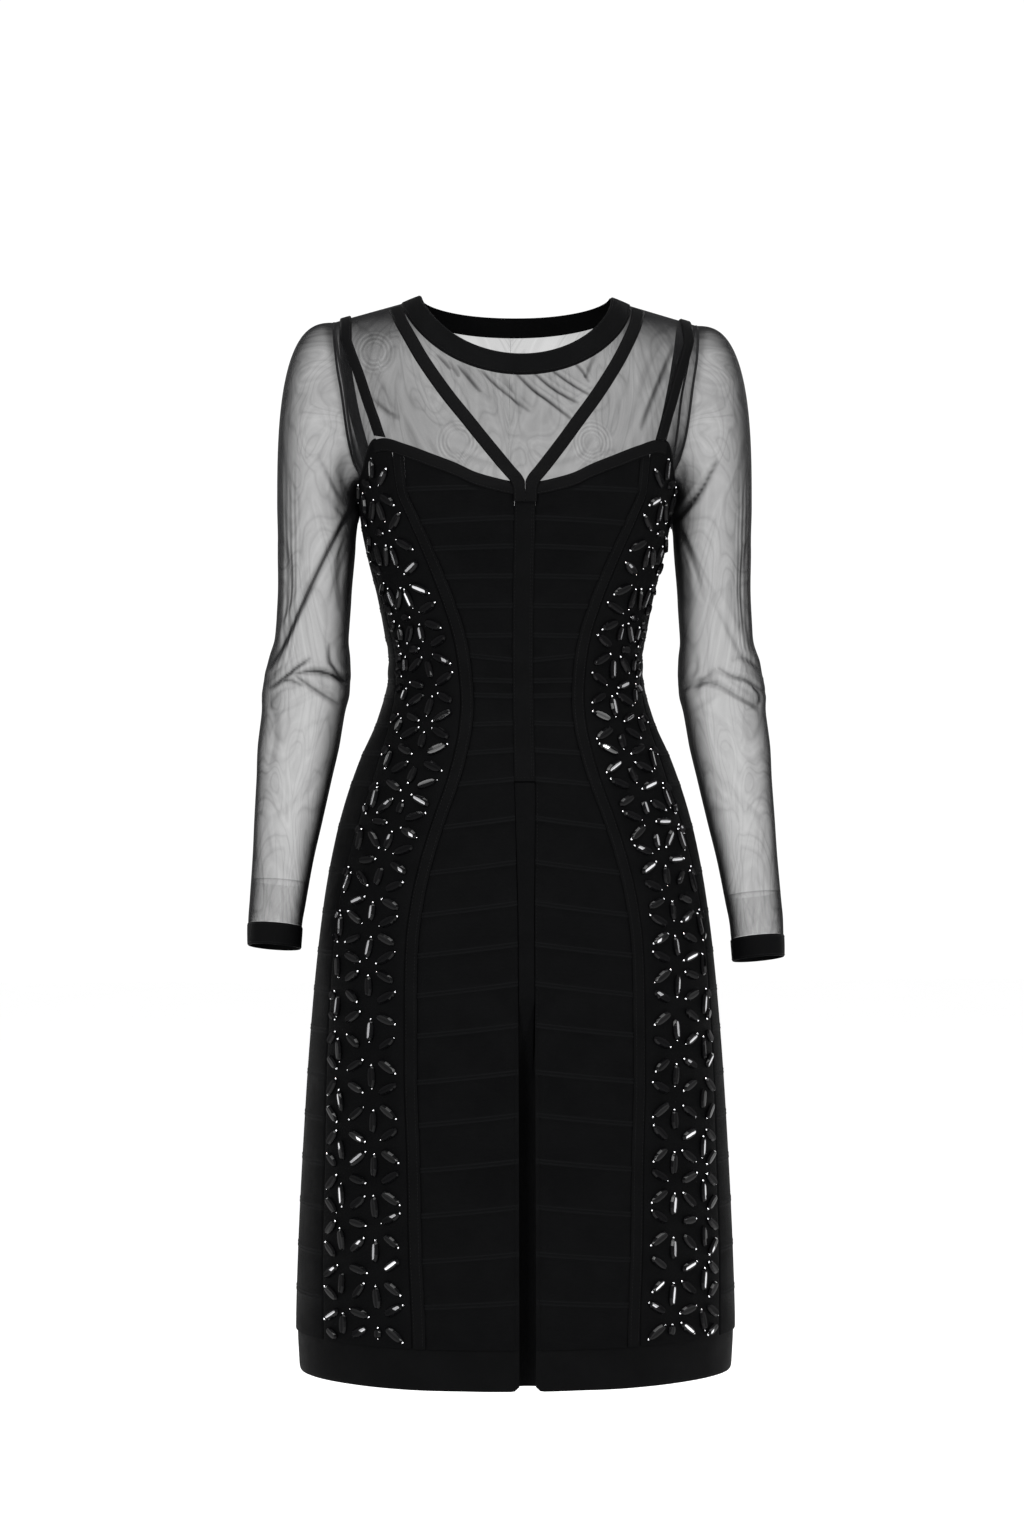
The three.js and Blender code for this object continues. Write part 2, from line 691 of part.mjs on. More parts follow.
// Outward direction of the yoke surface at a place
function yokeNormal(x, z, back) {
  const step = 0.6;
  const low = Math.min(z, shoulderZ(x) - 1.2);
  const across = yokePoint(x + step, low, back).sub(yokePoint(x - step, low, back));
  const down = yokePoint(x, low - step, back).sub(yokePoint(x, low + step / 2, back));
  const normal = back ? across.cross(down) : down.cross(across);
  return normal.normalize();
}

function liftedYoke(x, z, back, lift) {
  return yokePoint(x, z, back).addScaledVector(yokeNormal(x, z, back), lift);
}

function yokeRows(from, to, count, rows, back, lift) {
  const lines = [];
  for (let r = 0; r <= rows; r += 1) {
    const line = [];
    for (let c = 0; c <= count; c += 1) {
      const across = lerp(from, to, c / count);
      const place = yokePlace(Math.abs(across), r / rows, back);
      const x = Math.sign(across || 1) * place.x;
      const point = liftedYoke(x, place.z, back, lift);
      if (Math.abs(across) === 1) point.x = x;
      line.push(point);
    }
    lines.push(line);
  }
  return lines;
}

function frontYoke() {
  return new Body().wall(yokeRows(-1, 1, 24, 7, false, NET_WALL), yokeRows(-1, 1, 24, 7, false, 0));
}

function backYoke(side) {
  const shift = 0.002;
  const rows = (lift) => yokeRows(1, shift, 12, 6, true, lift).map((row) => row.map((p) => {
    return new THREE.Vector3(Math.max(p.x, SEAM_GAP / 2), p.y, p.z);
  }));
  return new Body().wall(onSide(rows(NET_WALL), side), onSide(rows(0), side));
}

// Neckband, open at the centre back
function neckBand() {
  const steps = 36;
  const ring = (turn) => {
    const front = Math.cos(turn) >= 0;
    const folded = Math.asin(clamp(Math.sin(turn), -1, 1));
    const low = neckEdge(Math.abs(folded), !front, 0);
    const sign = Math.sign(Math.sin(turn) || 1);
    const base = yokePoint(sign * low.x, low.z, !front);
    const cosine = Math.abs(Math.cos(turn)) ** NECK.power;
    const dip = front ? NECK_TOP.frontDip : NECK_TOP.backDip;
    const high = new THREE.Vector3(
      sign * NECK_TOP.half * Math.abs(Math.sin(turn)),
      base.y * NECK_TOP.reach,
      NECK_TOP.sideZ - dip * cosine,
    );
    if (Math.abs(folded) > rad(89)) {
      base.y = 0;
      high.y = 0;
    }
    return { base, high };
  };
  const opening = 0.004;
  const outer = [[], [], []];
  const inner = [[], [], []];
  for (let c = 0; c <= steps; c += 1) {
    const turn = lerp(-Math.PI + opening, Math.PI - opening, c / steps);
    const { base, high } = ring(turn);
    const ahead = ring(turn + 0.01);
    const behind = ring(turn - 0.01);
    const along = ahead.base.clone().sub(behind.base);
    const normal = high.clone().sub(base).cross(along).normalize().multiplyScalar(-1);
    [high, high.clone().lerp(base, 0.5), base].forEach((point, r) => {
      outer[r].push(point.clone().addScaledVector(normal, BAND_WALL));
      inner[r].push(point.clone());
    });
  }
  return new Body().wall(outer, inner);
}

// Flat trim laid over the yoke or the bodice along a middle line
function ribbon(path, width, place, side) {
  const body = new Body();
  const rows = (lift) => path.map((here, i) => {
    const ahead = path[Math.min(i + 1, path.length - 1)];
    const behind = path[Math.max(i - 1, 0)];
    const a = place(behind, 0, 0, TRIM_LIFT);
    const b = place(ahead, 0, 0, TRIM_LIFT);
    const run = b.clone().sub(a).normalize();
    return [-0.5, 0, 0.5].map((share) => {
      const out = place(here, 0, 0, TRIM_LIFT + 1).sub(place(here, 0, 0, TRIM_LIFT));
      const across = run.clone().cross(out).normalize().multiplyScalar(share * width);
      return place(here, across.x, across.z, lift);
    });
  });
  const turned = (grid) => grid.map((row) => [...row].reverse());
  const outer = rows(TRIM_LIFT + TRIM_WALL);
  const inner = rows(TRIM_LIFT);
  const facing = side === 'right' ? [turned(outer), turned(inner)] : [mirrored(turned(outer)), mirrored(turned(inner))];
  return body.wall(...facing);
}

function densify(table, steps) {
  const { rows } = table;
  const path = [];
  const curve = new THREE.CatmullRomCurve3(rows.map(([x, z]) => new THREE.Vector3(x, 0, z)));
  for (let i = 0; i <= steps; i += 1) {
    const p = curve.getPoint(i / steps);
    path.push({ x: p.x, z: p.z, back: false });
  }
  return path;
}

// The strap rises over the binding before it reaches the bodice
const netPlace = (here, dx, dz, lift) => {
  const x = Math.max(here.x + dx, SEAM_GAP / 2);
  const z = Math.min(here.z + dz, shoulderZ(x) - 0.5);
  const above = z - bodiceTop(angleAtX(x, -150));
  const over = STRAP_RISE * clamp((BINDING_WIDTH - above) / 7, 0, 1);
  return liftedYoke(x, z, here.back, lift + over);
};

function halterStrap(side) {
  return ribbon(densify(HALTER, 21), STRAP_WIDTH, netPlace, side);
}

// Shoulder strap, from the bodice top over the shoulder to the back
function shoulderStrap(side) {
  const front = densify(SHOULDER_FRONT, 7);
  const back = densify(SHOULDER_BACK, 7).map((point) => ({ ...point, back: true }));
  const rows = (lift) => {
    const lines = [];
    for (const here of [...front, ...back]) {
      const rise = here.back ? SHOULDER_RISE * clamp((-60 - here.z) / 40, 0, 1) : 0;
      const line = [-0.5, 0, 0.5].map((share) => {
        const x = here.x + share * SHOULDER_WIDTH;
        const z = here.z + share * SHOULDER_WIDTH * (here.back ? 0.22 : 0.25);
        return liftedYoke(x, Math.min(z, shoulderZ(x) - 0.6), here.back, lift + rise);
      });
      lines.push(line);
      if (here === front[front.length - 1]) {
        const crossing = [14, 8, 4, 1.5, 0.3];
        const over = [...crossing.map((d) => [d, false]), ...[...crossing].reverse().map((d) => [d, true])];
        for (const [depth, isBack] of over) {
          lines.push([-0.5, 0, 0.5].map((share) => {
            const x = 152.5 + share * SHOULDER_WIDTH;
            return liftedYoke(x, shoulderZ(x) - depth, isBack, lift);
          }));
        }
      }
    }
    return lines;
  };
  const outer = rows(TRIM_LIFT - 0.2 + TRIM_WALL).reverse();
  const inner = rows(TRIM_LIFT - 0.2).reverse();
  return new Body().wall(onSide(outer, side), onSide(inner, side));
}

// Binding along the upper edge of the bodice
function topBinding(fromDegrees, toDegrees, steps, lift, side) {
  const rows = (raise) => [0, 0.5, 1].map((share) => {
    const line = [];
    for (let c = 0; c <= steps; c += 1) {
      const angle = rad(lerp(fromDegrees, toDegrees, c / steps));
      const z = bodiceTop(angle) - share * BINDING_WIDTH;
      line.push(form(angle, z, raise));
    }
    return line;
  });
  const outer = rows(lift + TRIM_WALL);
  const inner = rows(lift);
  return new Body().wall(onSide(outer, side), onSide(inner, side));
}

// Sleeve: rings swing from the armhole to level, then follow the arm
const ARM_POINTS = 18;

function armholePoint(turn, lift) {
  const share = (1 - Math.cos(turn)) / 2;
  const z = lerp(ARMHOLE_TOP, ARMHOLE_LOW, share);
  const x = read(ARMHOLE, z, 'x');
  const back = turn > Math.PI;
  const point = yokePoint(x, Math.min(z, shoulderZ(x)), back);
  if (share < 0.0001 || share > 0.9999) point.y = 0;
  const out = new THREE.Vector3(0, point.y, point.z - (ARMHOLE_TOP + ARMHOLE_LOW) / 2).normalize();
  point.addScaledVector(out, lift);
  point.x += SEAM_GAP / 2;
  return point;
}

// The lower sleeve is cut square to the arm, so its outer side and its front are a little higher
function sleevePoint(z, turn, inset) {
  const wide = read(SLEEVE, z, 'wide') - inset;
  const deep = read(SLEEVE, z, 'deep') - inset;
  const tilt = clamp((TILT_START - z) / 120, 0, 1);
  return new THREE.Vector3(
    read(SLEEVE, z, 'x') + wide * Math.cos(turn),
    read(SLEEVE, z, 'y') - deep * Math.sin(turn),
    z + tilt * (ARM_TILT * wide * Math.cos(turn) + ARM_LEAN * deep * Math.sin(turn)),
  );
}

function sleeveRings(end, inset) {
  const rings = [];
  const turns = [...Array(ARM_POINTS).keys()].map((i) => (2 * Math.PI * i) / ARM_POINTS);
  const first = SLEEVE.rows[0][0];
  for (const swing of [0, 0.16, 0.32, 0.5, 0.68, 0.84]) {
    const outward = Math.sin((swing * Math.PI) / 2) ** (2 / SHOULDER_ROUND);
    const downward = 1 - Math.cos((swing * Math.PI) / 2) ** (2 / SHOULDER_ROUND);
    rings.push(turns.map((turn) => {
      const a = armholePoint(turn, NET_WALL - inset);
      const b = sleevePoint(first, turn, inset);
      return new THREE.Vector3(lerp(a.x, b.x, outward), lerp(a.y, b.y, swing), lerp(a.z, b.z, downward));
    }));
  }
  const heights = SLEEVE.rows.map((row) => row[0]).filter((z) => z > end + 8);
  for (const z of [...heights, end]) rings.push(turns.map((turn) => sleevePoint(z, turn, inset)));
  return rings;
}

const turnedRings = (rings) => rings.map((ring) => [ring[0], ...ring.slice(1).reverse()]);
const mirrorRings = (rings) => rings.map((ring) => ring.map((p) => new THREE.Vector3(-p.x, p.y, p.z)));

function sleeve(side) {
  const outer = sleeveRings(SLEEVE_END[side], 0);
  const inner = sleeveRings(SLEEVE_END[side], NET_WALL);
  if (side === 'right') return new Body().tube(turnedRings(outer), turnedRings(inner));
  return new Body().tube(mirrorRings(outer), mirrorRings(inner));
}

function cuff(side) {
  const top = SLEEVE_END[side] - SEAM_GAP;
  const turns = [...Array(ARM_POINTS).keys()].map((i) => (2 * Math.PI * i) / ARM_POINTS);
  const rings = (inset) => [0, 0.5, 1].map((share) => {
    return turns.map((turn) => sleevePoint(top - share * CUFF_HEIGHT, turn, inset));
  });
  const [outer, inner] = [rings(-0.4), rings(BAND_WALL - 0.4)];
  if (side === 'right') return new Body().tube(turnedRings(outer), turnedRings(inner));
  return new Body().tube(mirrorRings(outer), mirrorRings(inner));
}

// Materials
const knit = () => new THREE.MeshStandardMaterial({ color: 0x111212, roughness: 0.82, metalness: 0 });
const satin = () => new THREE.MeshStandardMaterial({ color: 0x0d0e0e, roughness: 0.5, metalness: 0 });
const net = () => new THREE.MeshStandardMaterial({ color: 0x2b2c2d, roughness: 0.9, metalness: 0 });
const beaded = () => new THREE.MeshStandardMaterial({ color: 0x0b0b0c, roughness: 0.35, metalness: 0.1 });

const group = new THREE.Group();
group.name = 'dress';

function add(name, body, material) {
  const mesh = new THREE.Mesh(body.geometry(), material);
  mesh.name = name;
  group.add(mesh);
}

add('neckband', neckBand(), knit());
add('front_yoke', frontYoke(), net());
add('centre_front_band', centreBand(), knit());
add('pleat_underlay', underlay(), knit());
add('hem_band', hemBand(), knit());
const rightBeads = beadPanel();
for (const side of SIDES) {
  add(`back_yoke_${side}`, backYoke(side), net());
  add(`front_panel_${side}`, frontPanel(side), knit());
  add(`princess_band_${side}`, princessBand(side), knit());
  add(`beaded_panel_${side}`, side === 'right' ? rightBeads : flipBody(rightBeads), beaded());
  add(`back_panel_${side}`, backPanel(side), knit());
  add(`halter_strap_${side}`, halterStrap(side), satin());
  add(`shoulder_strap_${side}`, shoulderStrap(side), satin());
  add(`front_binding_${side}`, topBinding(0.12, 63, 18, TRIM_LIFT, side), satin());
  add(`back_binding_${side}`, topBinding(107, 179.8, 12, TRIM_LIFT + 0.3, side), satin());
  add(`sleeve_${side}`, sleeve(side), net());
  add(`cuff_${side}`, cuff(side), knit());
}

export default group;
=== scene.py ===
# Black evening dress with a sheer yoke and sleeves, raised strips and beaded side panels.
# Lengths are millimetres until a mesh is made, which is in metres. +Z is up, the front faces -Y.
import math

import bpy
import numpy as np
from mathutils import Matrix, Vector


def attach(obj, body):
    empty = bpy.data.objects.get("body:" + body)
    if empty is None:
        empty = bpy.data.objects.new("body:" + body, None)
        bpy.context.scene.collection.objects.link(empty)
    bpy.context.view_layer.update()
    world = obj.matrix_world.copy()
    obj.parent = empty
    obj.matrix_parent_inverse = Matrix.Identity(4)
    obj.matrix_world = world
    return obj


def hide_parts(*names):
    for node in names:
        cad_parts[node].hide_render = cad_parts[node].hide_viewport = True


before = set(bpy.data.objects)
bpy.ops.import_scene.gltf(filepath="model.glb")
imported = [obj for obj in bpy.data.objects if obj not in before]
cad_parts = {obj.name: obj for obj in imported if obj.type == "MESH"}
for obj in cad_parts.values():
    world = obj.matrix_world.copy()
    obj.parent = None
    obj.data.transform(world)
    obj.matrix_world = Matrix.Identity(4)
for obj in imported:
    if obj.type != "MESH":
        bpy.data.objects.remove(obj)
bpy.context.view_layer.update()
MM = 0.001

# Cloth thicknesses and seam gaps, as in the solids
PANEL_WALL = 1.4
BAND_WALL = 1.8
SEAM_GAP = 0.3
TRIM_LIFT = 1.7
TRIM_WALL = 1.2
NET_LIFT = 0.5
INNER_LIFT = 0.2

# Widths of the narrow pieces
FRONT_BAND_HALF = 9.0
PRINCESS_WIDTH = 11.5
BINDING_WIDTH = 11.5
STRAP_WIDTH = 11.5
STRAP_RISE = 1.7
SHOULDER_WIDTH = 10.0
CUFF_HEIGHT = 19.5

# Heights
SHELL_HEM = -901.0
HEM_BOTTOM = -937.0
HEM_LAP = 10.0
HEM_LENGTH = 1100.0
BAND_END = -413.0
UNDERLAY_TOP = -392.0
UNDERLAY_BOTTOM = -934.5

# Beads: the stones, the room between them and the round beads at their tips
BEAD_LENGTH = 20.5
BEAD_WIDTH = 7.2
BEAD_RISE = 3.0
BEAD_CLEAR = 6.6
BEAD_SHORTEST = 9.0
TIP_LARGE = 1.1
TIP_SMALL = 0.7
TIP_GAP = 0.4
STONE_PAD = 1.6
STEEP = 0.85

# Raised strips: half width, and the two fine ridges across it
STRIP_EDGE = 2.6
STRIP_PROFILE = [
    (2.6, 0.0), (2.1, 0.5), (1.5, 0.85), (0.8, 0.5), (0.0, 0.2),
    (-0.8, 0.5), (-1.5, 0.85), (-2.1, 0.5), (-2.6, 0.0),
]

# Height of the strips on the back panels, as a share of that on the front
BACK_STRIP_SHARE = 0.5

# Painted crease shade: half width of the dark line and of the shade beside it
CREASE_LINE = 1.1
CREASE_SHADE = 4.0

# Body form
SQUARENESS = 2.2
RIDGE = 45.0
SHOULDER_ROUND = 2.8
ARM_TILT = 0.08
ARM_LEAN = 0.15
TILT_START = -390.0
NECK = {"half": 103, "side_z": 14.6, "front_dip": 70.5, "back_dip": 22, "power": 1.2}
NECK_TOP = {"half": 85, "side_z": 22, "front_dip": 58, "back_dip": 12, "reach": 0.87}
NECK_SHARE = 0.75
NECK_GAP = -1.0
SHOULDER_SLOPE = 0.286
ARMHOLE_TOP = -2.9
ARMHOLE_LOW = -151.0
SLEEVE_END = {"left": -541.0, "right": -553.0}

# Pleat under the centre front
PLEAT_OPENS = -600.0
PLEAT_START = -421.0
PLEAT_FULL = -530.0
PLEAT_HEM_HALF = 7.2
PLEAT_DEPTH = 14.0
UNDERLAY_HALF = 30.0
CORNER = 7.0

# Photograph: its size, the camera's distance and the middle of its view
PHOTO_HEIGHT = 1536
PHOTO_SHIFT = 3.5
CAMERA_DISTANCE = 3.2
CAMERA_HEIGHT = -0.4014
CAMERA_TURN = math.radians(4)
CAMERA_LENS = 83.33


class Table:
    """Rows of named columns, read smoothly between the rows by the first column."""

    def __init__(self, columns, rows):
        data = np.array(rows, float)
        if data[0, 0] > data[-1, 0]:
            data = data[::-1]
        self.key = data[:, 0]
        self.values = {name: data[:, i] for i, name in enumerate(columns)}
        self.slopes = {name: self.slope(self.values[name]) for name in columns}

    def slope(self, values):
        step = np.diff(values) / np.diff(self.key)
        lower, upper = step[:-1], step[1:]
        product = lower * upper
        total = np.where(np.abs(lower + upper) > 1e-12, lower + upper, 1)
        inner = np.where(product > 0, 2 * product / total, 0)
        return np.concatenate([[0], inner, [0]])

    def read(self, name, at):
        at = np.clip(at, self.key[0], self.key[-1])
        i = np.clip(np.searchsorted(self.key, at, side="right") - 1, 0, len(self.key) - 2)
        span = self.key[i + 1] - self.key[i]
        t = (at - self.key[i]) / span
        values, slopes = self.values[name], self.slopes[name]
        rise = (3 * t**2 - 2 * t**3) * (values[i + 1] - values[i])
        start = (t**3 - 2 * t**2 + t) * span * slopes[i]
        end = (t**3 - t**2) * span * slopes[i + 1]
        return values[i] + rise + start + end


SECTIONS = Table(("z", "half", "front", "back"), [
    (25, 190, 40, 46), (0, 190, 50, 58), (-20, 187, 60, 67), (-47, 181, 72, 77), (-60, 178, 78, 81),
    (-80, 170.5, 87, 85), (-107, 160, 100, 87), (-120, 152, 106, 88), (-136, 144.4, 112, 88),
    (-151, 141.8, 116, 87), (-160, 141, 118, 86.5), (-190, 136.5, 114, 84), (-214, 131.4, 105, 80),
    (-250, 122.4, 96, 76), (-286, 115.7, 92, 74), (-304, 113.4, 92, 74), (-322, 113.9, 93, 76),
    (-358, 122.9, 100, 86), (-394, 138.6, 110, 100), (-430, 151.2, 119, 110), (-466, 160.7, 125, 117),
    (-520, 170.6, 131, 123), (-592, 179, 137, 130), (-700, 187.2, 143, 138), (-844, 194.4, 149, 147),
    (-901, 195.8, 151, 149), (-945, 194, 150, 149),
])

# Distance of the princess seam from the centre front
PRINCESS = Table(("z", "x"), [
    (-120, 103.6), (-156, 101), (-182, 90.6), (-207, 79), (-233, 67.6), (-259, 57.5), (-285, 49.3),
    (-305, 45.5), (-325, 43.4), (-342, 42.5), (-362, 43.8), (-386, 48.3), (-411, 55.2), (-445, 67.5),
    (-483, 79.5), (-518, 87.4), (-554, 92), (-588, 93.2), (-664, 93.3), (-740, 91), (-820, 89.5),
    (-901, 86.5),
])

# Upper edge of the bodice by degrees from the centre front
BODICE_TOP = Table(("degrees", "z"), [
    (0, -154), (6.2, -152.5), (13, -149.3), (20.6, -144.5), (29, -136.2), (39.2, -127.6),
    (50.5, -118), (59.5, -111.9), (63.3, -113.4), (68, -124), (73.7, -138), (76.6, -143.5),
    (82.5, -150.4), (87, -153), (93, -153), (97.5, -150.4), (103.4, -146), (112, -148),
    (126, -152), (150, -157), (180, -159),
])

# Raised strips: height at the centre front and drop at the princess seam
STRIPS = np.array([
    (-158, 0), (-184.1, 2.7), (-208.3, 1.7), (-234, 0.3), (-259.5, 0.2), (-285.2, 0.4), (-307, -4),
    (-325.4, -1), (-338.6, -1), (-362.2, 1.1), (-385.7, 2.6), (-410.9, 4.4), (-444.7, 8.1),
    (-482.6, 9.7), (-517.9, 11), (-553.2, 10.8), (-587.1, 11), (-622.7, 10.2), (-662.9, 9.7),
    (-699.7, 9.7), (-739.1, 9), (-778.4, 8.6), (-818.5, 7.4), (-859.9, 5),
])

# Bead lattice: distances of its columns from the princess band
LATTICE = Table(("z", "inner", "outer", "width"), [
    (-110, 25, 50, 78), (-156, 26, 52, 80), (-200, 29, 54, 82), (-240, 33, 54, 79),
    (-290, 28, 54, 76), (-325, 26, 56, 76), (-360, 30, 60, 78), (-447, 34, 68, 81),
    (-520, 36, 74, 85), (-600, 34, 73, 87), (-690, 30, 66, 90), (-901, 31, 69, 96),
])
# Heights of the stars' middles on the two columns
INNER_FLOWERS = [
    -115, -156.5, -195, -236, -268.5, -297, -332, -363.5, -392, -422.5, -450, -480, -512, -542, -574,
    -609, -650.5, -688.5, -728, -764, -799, -840.5, -878, -916,
]
OUTER_FLOWERS = [
    -110, -151, -192, -234, -268.5, -297, -324, -350.5, -378, -409.5, -446.5, -483, -521.5, -559.5,
    -592, -627.5, -669.5, -715, -753.5, -793, -831, -868.5, -906,
]

# Armhole: distance of its seam from the centre
ARMHOLE = Table(("z", "x"), [
    (-2.9, 163), (-34, 160), (-60, 155.5), (-100, 150), (-125, 144.6), (-141, 139), (-148, 140.9),
    (-151, 141.6),
])

# Sleeve rings: centre and half sizes
SLEEVE = Table(("z", "x", "y", "wide", "deep"), [
    (-165, 179.8, 2, 34.8, 40), (-196, 178.6, 3, 35.4, 40), (-250, 180.5, 5, 33.5, 37.5),
    (-286, 183, 7, 33.5, 36), (-320, 186.8, 8, 36.8, 36.5), (-340, 188.9, 8, 37.8, 37),
    (-376, 194, 6, 37.4, 36.5), (-412, 198.9, 3, 34.2, 34), (-448, 204, -2, 31, 32),
    (-484, 209, -8, 27.6, 29.5), (-520, 213.5, -14, 25.5, 27.5), (-542, 216, -18, 24.4, 26.2),
    (-585, 217, -24, 23.2, 25.4),
])
SLEEVE_TOP = -165.0

# Middle lines of the straps: distance from the centre and height
HALTER = [
    (108.5, 7), (104.5, -6), (100.5, -15), (96, -24), (86.5, -41.8), (75, -60.4), (62.5, -78.8),
    (49, -97), (35.5, -115.4), (21.5, -133.7), (14.2, -143), (7.8, -151), (4.8, -158), (4.4, -164),
    (4.4, -170),
]
SHOULDER_FRONT = [
    (123.4, -110.2), (125.6, -104), (129, -93), (133, -81.4), (142, -52.4), (148.5, -34),
    (152.5, -22),
]
SHOULDER_BACK = [(152, -22), (149, -45), (143, -75), (136, -100), (130, -120), (124.5, -143)]
SHOULDER_OVER = [14, 8, 4, 1.5, 0.3]
SHOULDER_RISE = 1.0
SHOULDER_MIDDLE = 152.5

SIDES = ("left", "right")


def lerp(a, b, t):
    return a + (b - a) * t


def unit(vectors):
    return vectors / np.maximum(np.linalg.norm(vectors, axis=-1, keepdims=True), 1e-9)


def smooth_line(rows, count):
    """Points of a Catmull-Rom curve through rows of numbers."""
    rows = np.array(rows, float)
    ends = np.vstack([2 * rows[0] - rows[1], rows, 2 * rows[-1] - rows[-2]])
    t = np.linspace(0, len(rows) - 1, count + 1)
    i = np.minimum(t.astype(int), len(rows) - 2)
    f = (t - i)[:, None]
    a, b, c, d = ends[i], ends[i + 1], ends[i + 2], ends[i + 3]
    return 0.5 * (2 * b + (c - a) * f + (2 * a - 5 * b + 4 * c - d) * f**2 + (3 * b - a - 3 * c + d) * f**3)


# Body form by angle from the front, height and lift

def form(angle, z, lift=0.0):
    angle, z, lift = np.broadcast_arrays(np.asarray(angle, float), np.asarray(z, float), lift)
    half = SECTIONS.read("half", z) + lift
    facing = np.where(np.cos(angle) > 0, SECTIONS.read("front", z), SECTIONS.read("back", z))
    depth = facing + lift
    across = (np.abs(np.sin(angle)) / half) ** SQUARENESS
    along = (np.abs(np.cos(angle)) / depth) ** SQUARENESS
    radius = (across + along) ** (-1 / SQUARENESS)
    return np.stack([radius * np.sin(angle), -radius * np.cos(angle), z], -1)


def angle_at_x(x, z):
    half = SECTIONS.read("half", z)
    rest = 1 - (np.abs(x) / half) ** SQUARENESS
    return np.arctan2(x, SECTIONS.read("front", z) * rest ** (1 / SQUARENESS))


def angle_along(start, length, z):
    """Angle that lies a given length of cloth further round at one height."""
    start, length, z = np.broadcast_arrays(*(np.asarray(v, float) for v in (start, length, z)))
    step = math.radians(1)
    turns = start[..., None] + step * np.arange(90)
    points = form(turns, z[..., None])
    pieces = np.linalg.norm(np.diff(points, axis=-2), axis=-1)
    run = np.concatenate([np.zeros(pieces.shape[:-1] + (1,)), np.cumsum(pieces, -1)], -1)
    i = np.clip((run < length[..., None]).sum(-1) - 1, 0, pieces.shape[-1] - 1)[..., None]
    passed = np.take_along_axis(run, i, -1)[..., 0]
    piece = np.take_along_axis(pieces, i, -1)[..., 0]
    return start + step * (i[..., 0] + (length - passed) / piece)


HEIGHTS = np.arange(-946.0, -99.0, 1.0)


def by_height(values):
    """A function of height, read from values worked out at every millimetre."""
    return lambda z: np.interp(z, HEIGHTS, values)


def gap_at(angle, z):
    return SEAM_GAP / 2 / np.linalg.norm(form(angle, z)[..., :2], axis=-1)


def pleat_share(z):
    return np.clip((PLEAT_START - z) / (PLEAT_START - PLEAT_FULL), 0, 1)


def seam_angles():
    """The panels' seams as angles by height, from the centre front to the side."""
    z = HEIGHTS
    seam = angle_at_x(PRINCESS.read("x", z), z)
    band_inner = seam + gap_at(seam, z)
    band_outer = angle_along(band_inner, PRINCESS_WIDTH, z)
    bead_inner = band_outer + 3 * gap_at(band_outer, z)
    bead_outer = angle_along(bead_inner, LATTICE.read("width", z), z)
    pleat = angle_at_x(lerp(FRONT_BAND_HALF + SEAM_GAP / 2, PLEAT_HEM_HALF, pleat_share(z)), z)
    found = {
        "pleat": pleat,
        "front_end": band_inner - 2 * gap_at(band_inner, z),
        "band_inner": band_inner,
        "band_outer": band_outer,
        "bead_inner": bead_inner,
        "bead_outer": bead_outer,
        "back_start": bead_outer + 3.6 * gap_at(bead_outer, z),
        "back_end": math.pi - gap_at(math.pi, z),
    }
    return {name: by_height(values) for name, values in found.items()}


SEAMS = seam_angles()
BOUND_END = math.radians(63.3)


def bodice_top(angle):
    return BODICE_TOP.read("z", np.degrees(np.abs(angle)))


def panel_top(angle):
    return bodice_top(angle) - np.where(np.abs(angle) < BOUND_END, BINDING_WIDTH / 2, 0)


# Soft large folds of the whole skirt: degrees from the front, top, bottom, half width and depth.
# A negative depth is a ridge.
FLUTES = [
    (17, -560, -960, 5.0, 1.1), (30, -640, -960, 6.0, -0.9), (52, -470, -960, 9.0, 1.0),
    (74, -520, -960, 7.0, -1.1), (98, -560, -960, 8.0, 1.4), (118, -480, -960, 9.0, -1.2),
    (139, -600, -960, 7.0, 1.5), (160, -520, -960, 8.0, -1.0),
    (-21, -600, -960, 6.0, 1.0), (-36, -570, -960, 6.5, -0.8), (-58, -500, -960, 8.0, 1.1),
    (-80, -560, -960, 8.0, -1.0), (-103, -500, -960, 9.0, 1.3), (-125, -540, -960, 8.0, -1.3),
    (-146, -560, -960, 7.0, 1.3), (-167, -500, -960, 7.0, -0.9),
]
# Short soft wrinkles where the body bends: degrees, height, half width, half height, depth
WRINKLES = [
    (82, -300, 26, 5.5, 0.9), (88, -318, 22, 4.5, 0.8), (95, -290, 20, 5.0, 0.7),
    (-84, -306, 25, 5.0, 0.9), (-90, -324, 21, 4.5, 0.7), (-96, -292, 22, 5.5, 0.8),
    (150, -312, 30, 6.0, 1.0), (-152, -318, 28, 5.5, 1.0), (165, -296, 22, 5.0, 0.8),
    (-164, -300, 20, 4.5, 0.7), (78, -176, 14, 5.0, 0.8), (-79, -180, 13, 5.0, 0.8),
]


def body_relief(angle, z):
    """Soft folds of the cloth on the body form; every piece there follows them."""
    degrees = (np.degrees(angle) + 180) % 360 - 180
    relief = np.zeros(np.broadcast(angle, z).shape)
    for middle, top, bottom, half, depth in FLUTES:
        away = (degrees - middle + 180) % 360 - 180
        share = np.clip((top - z) / (top - bottom), 0, 1)
        relief = relief - depth * share * np.exp(-((away / half) ** 2))
    for middle, height, half, tall, depth in WRINKLES:
        away = (degrees - middle + 180) % 360 - 180
        slant = z - height + 0.12 * away
        relief = relief - depth * np.exp(-((away / half) ** 2) - (slant / tall) ** 2)
    return relief


def body(angle, z, lift, side="right"):
    """A point on the body form with its folds; the left side is mirrored afterwards."""
    sign = 1 if side == "right" else -1
    return form(angle, z, lift + body_relief(sign * np.asarray(angle), z))


# Meshes

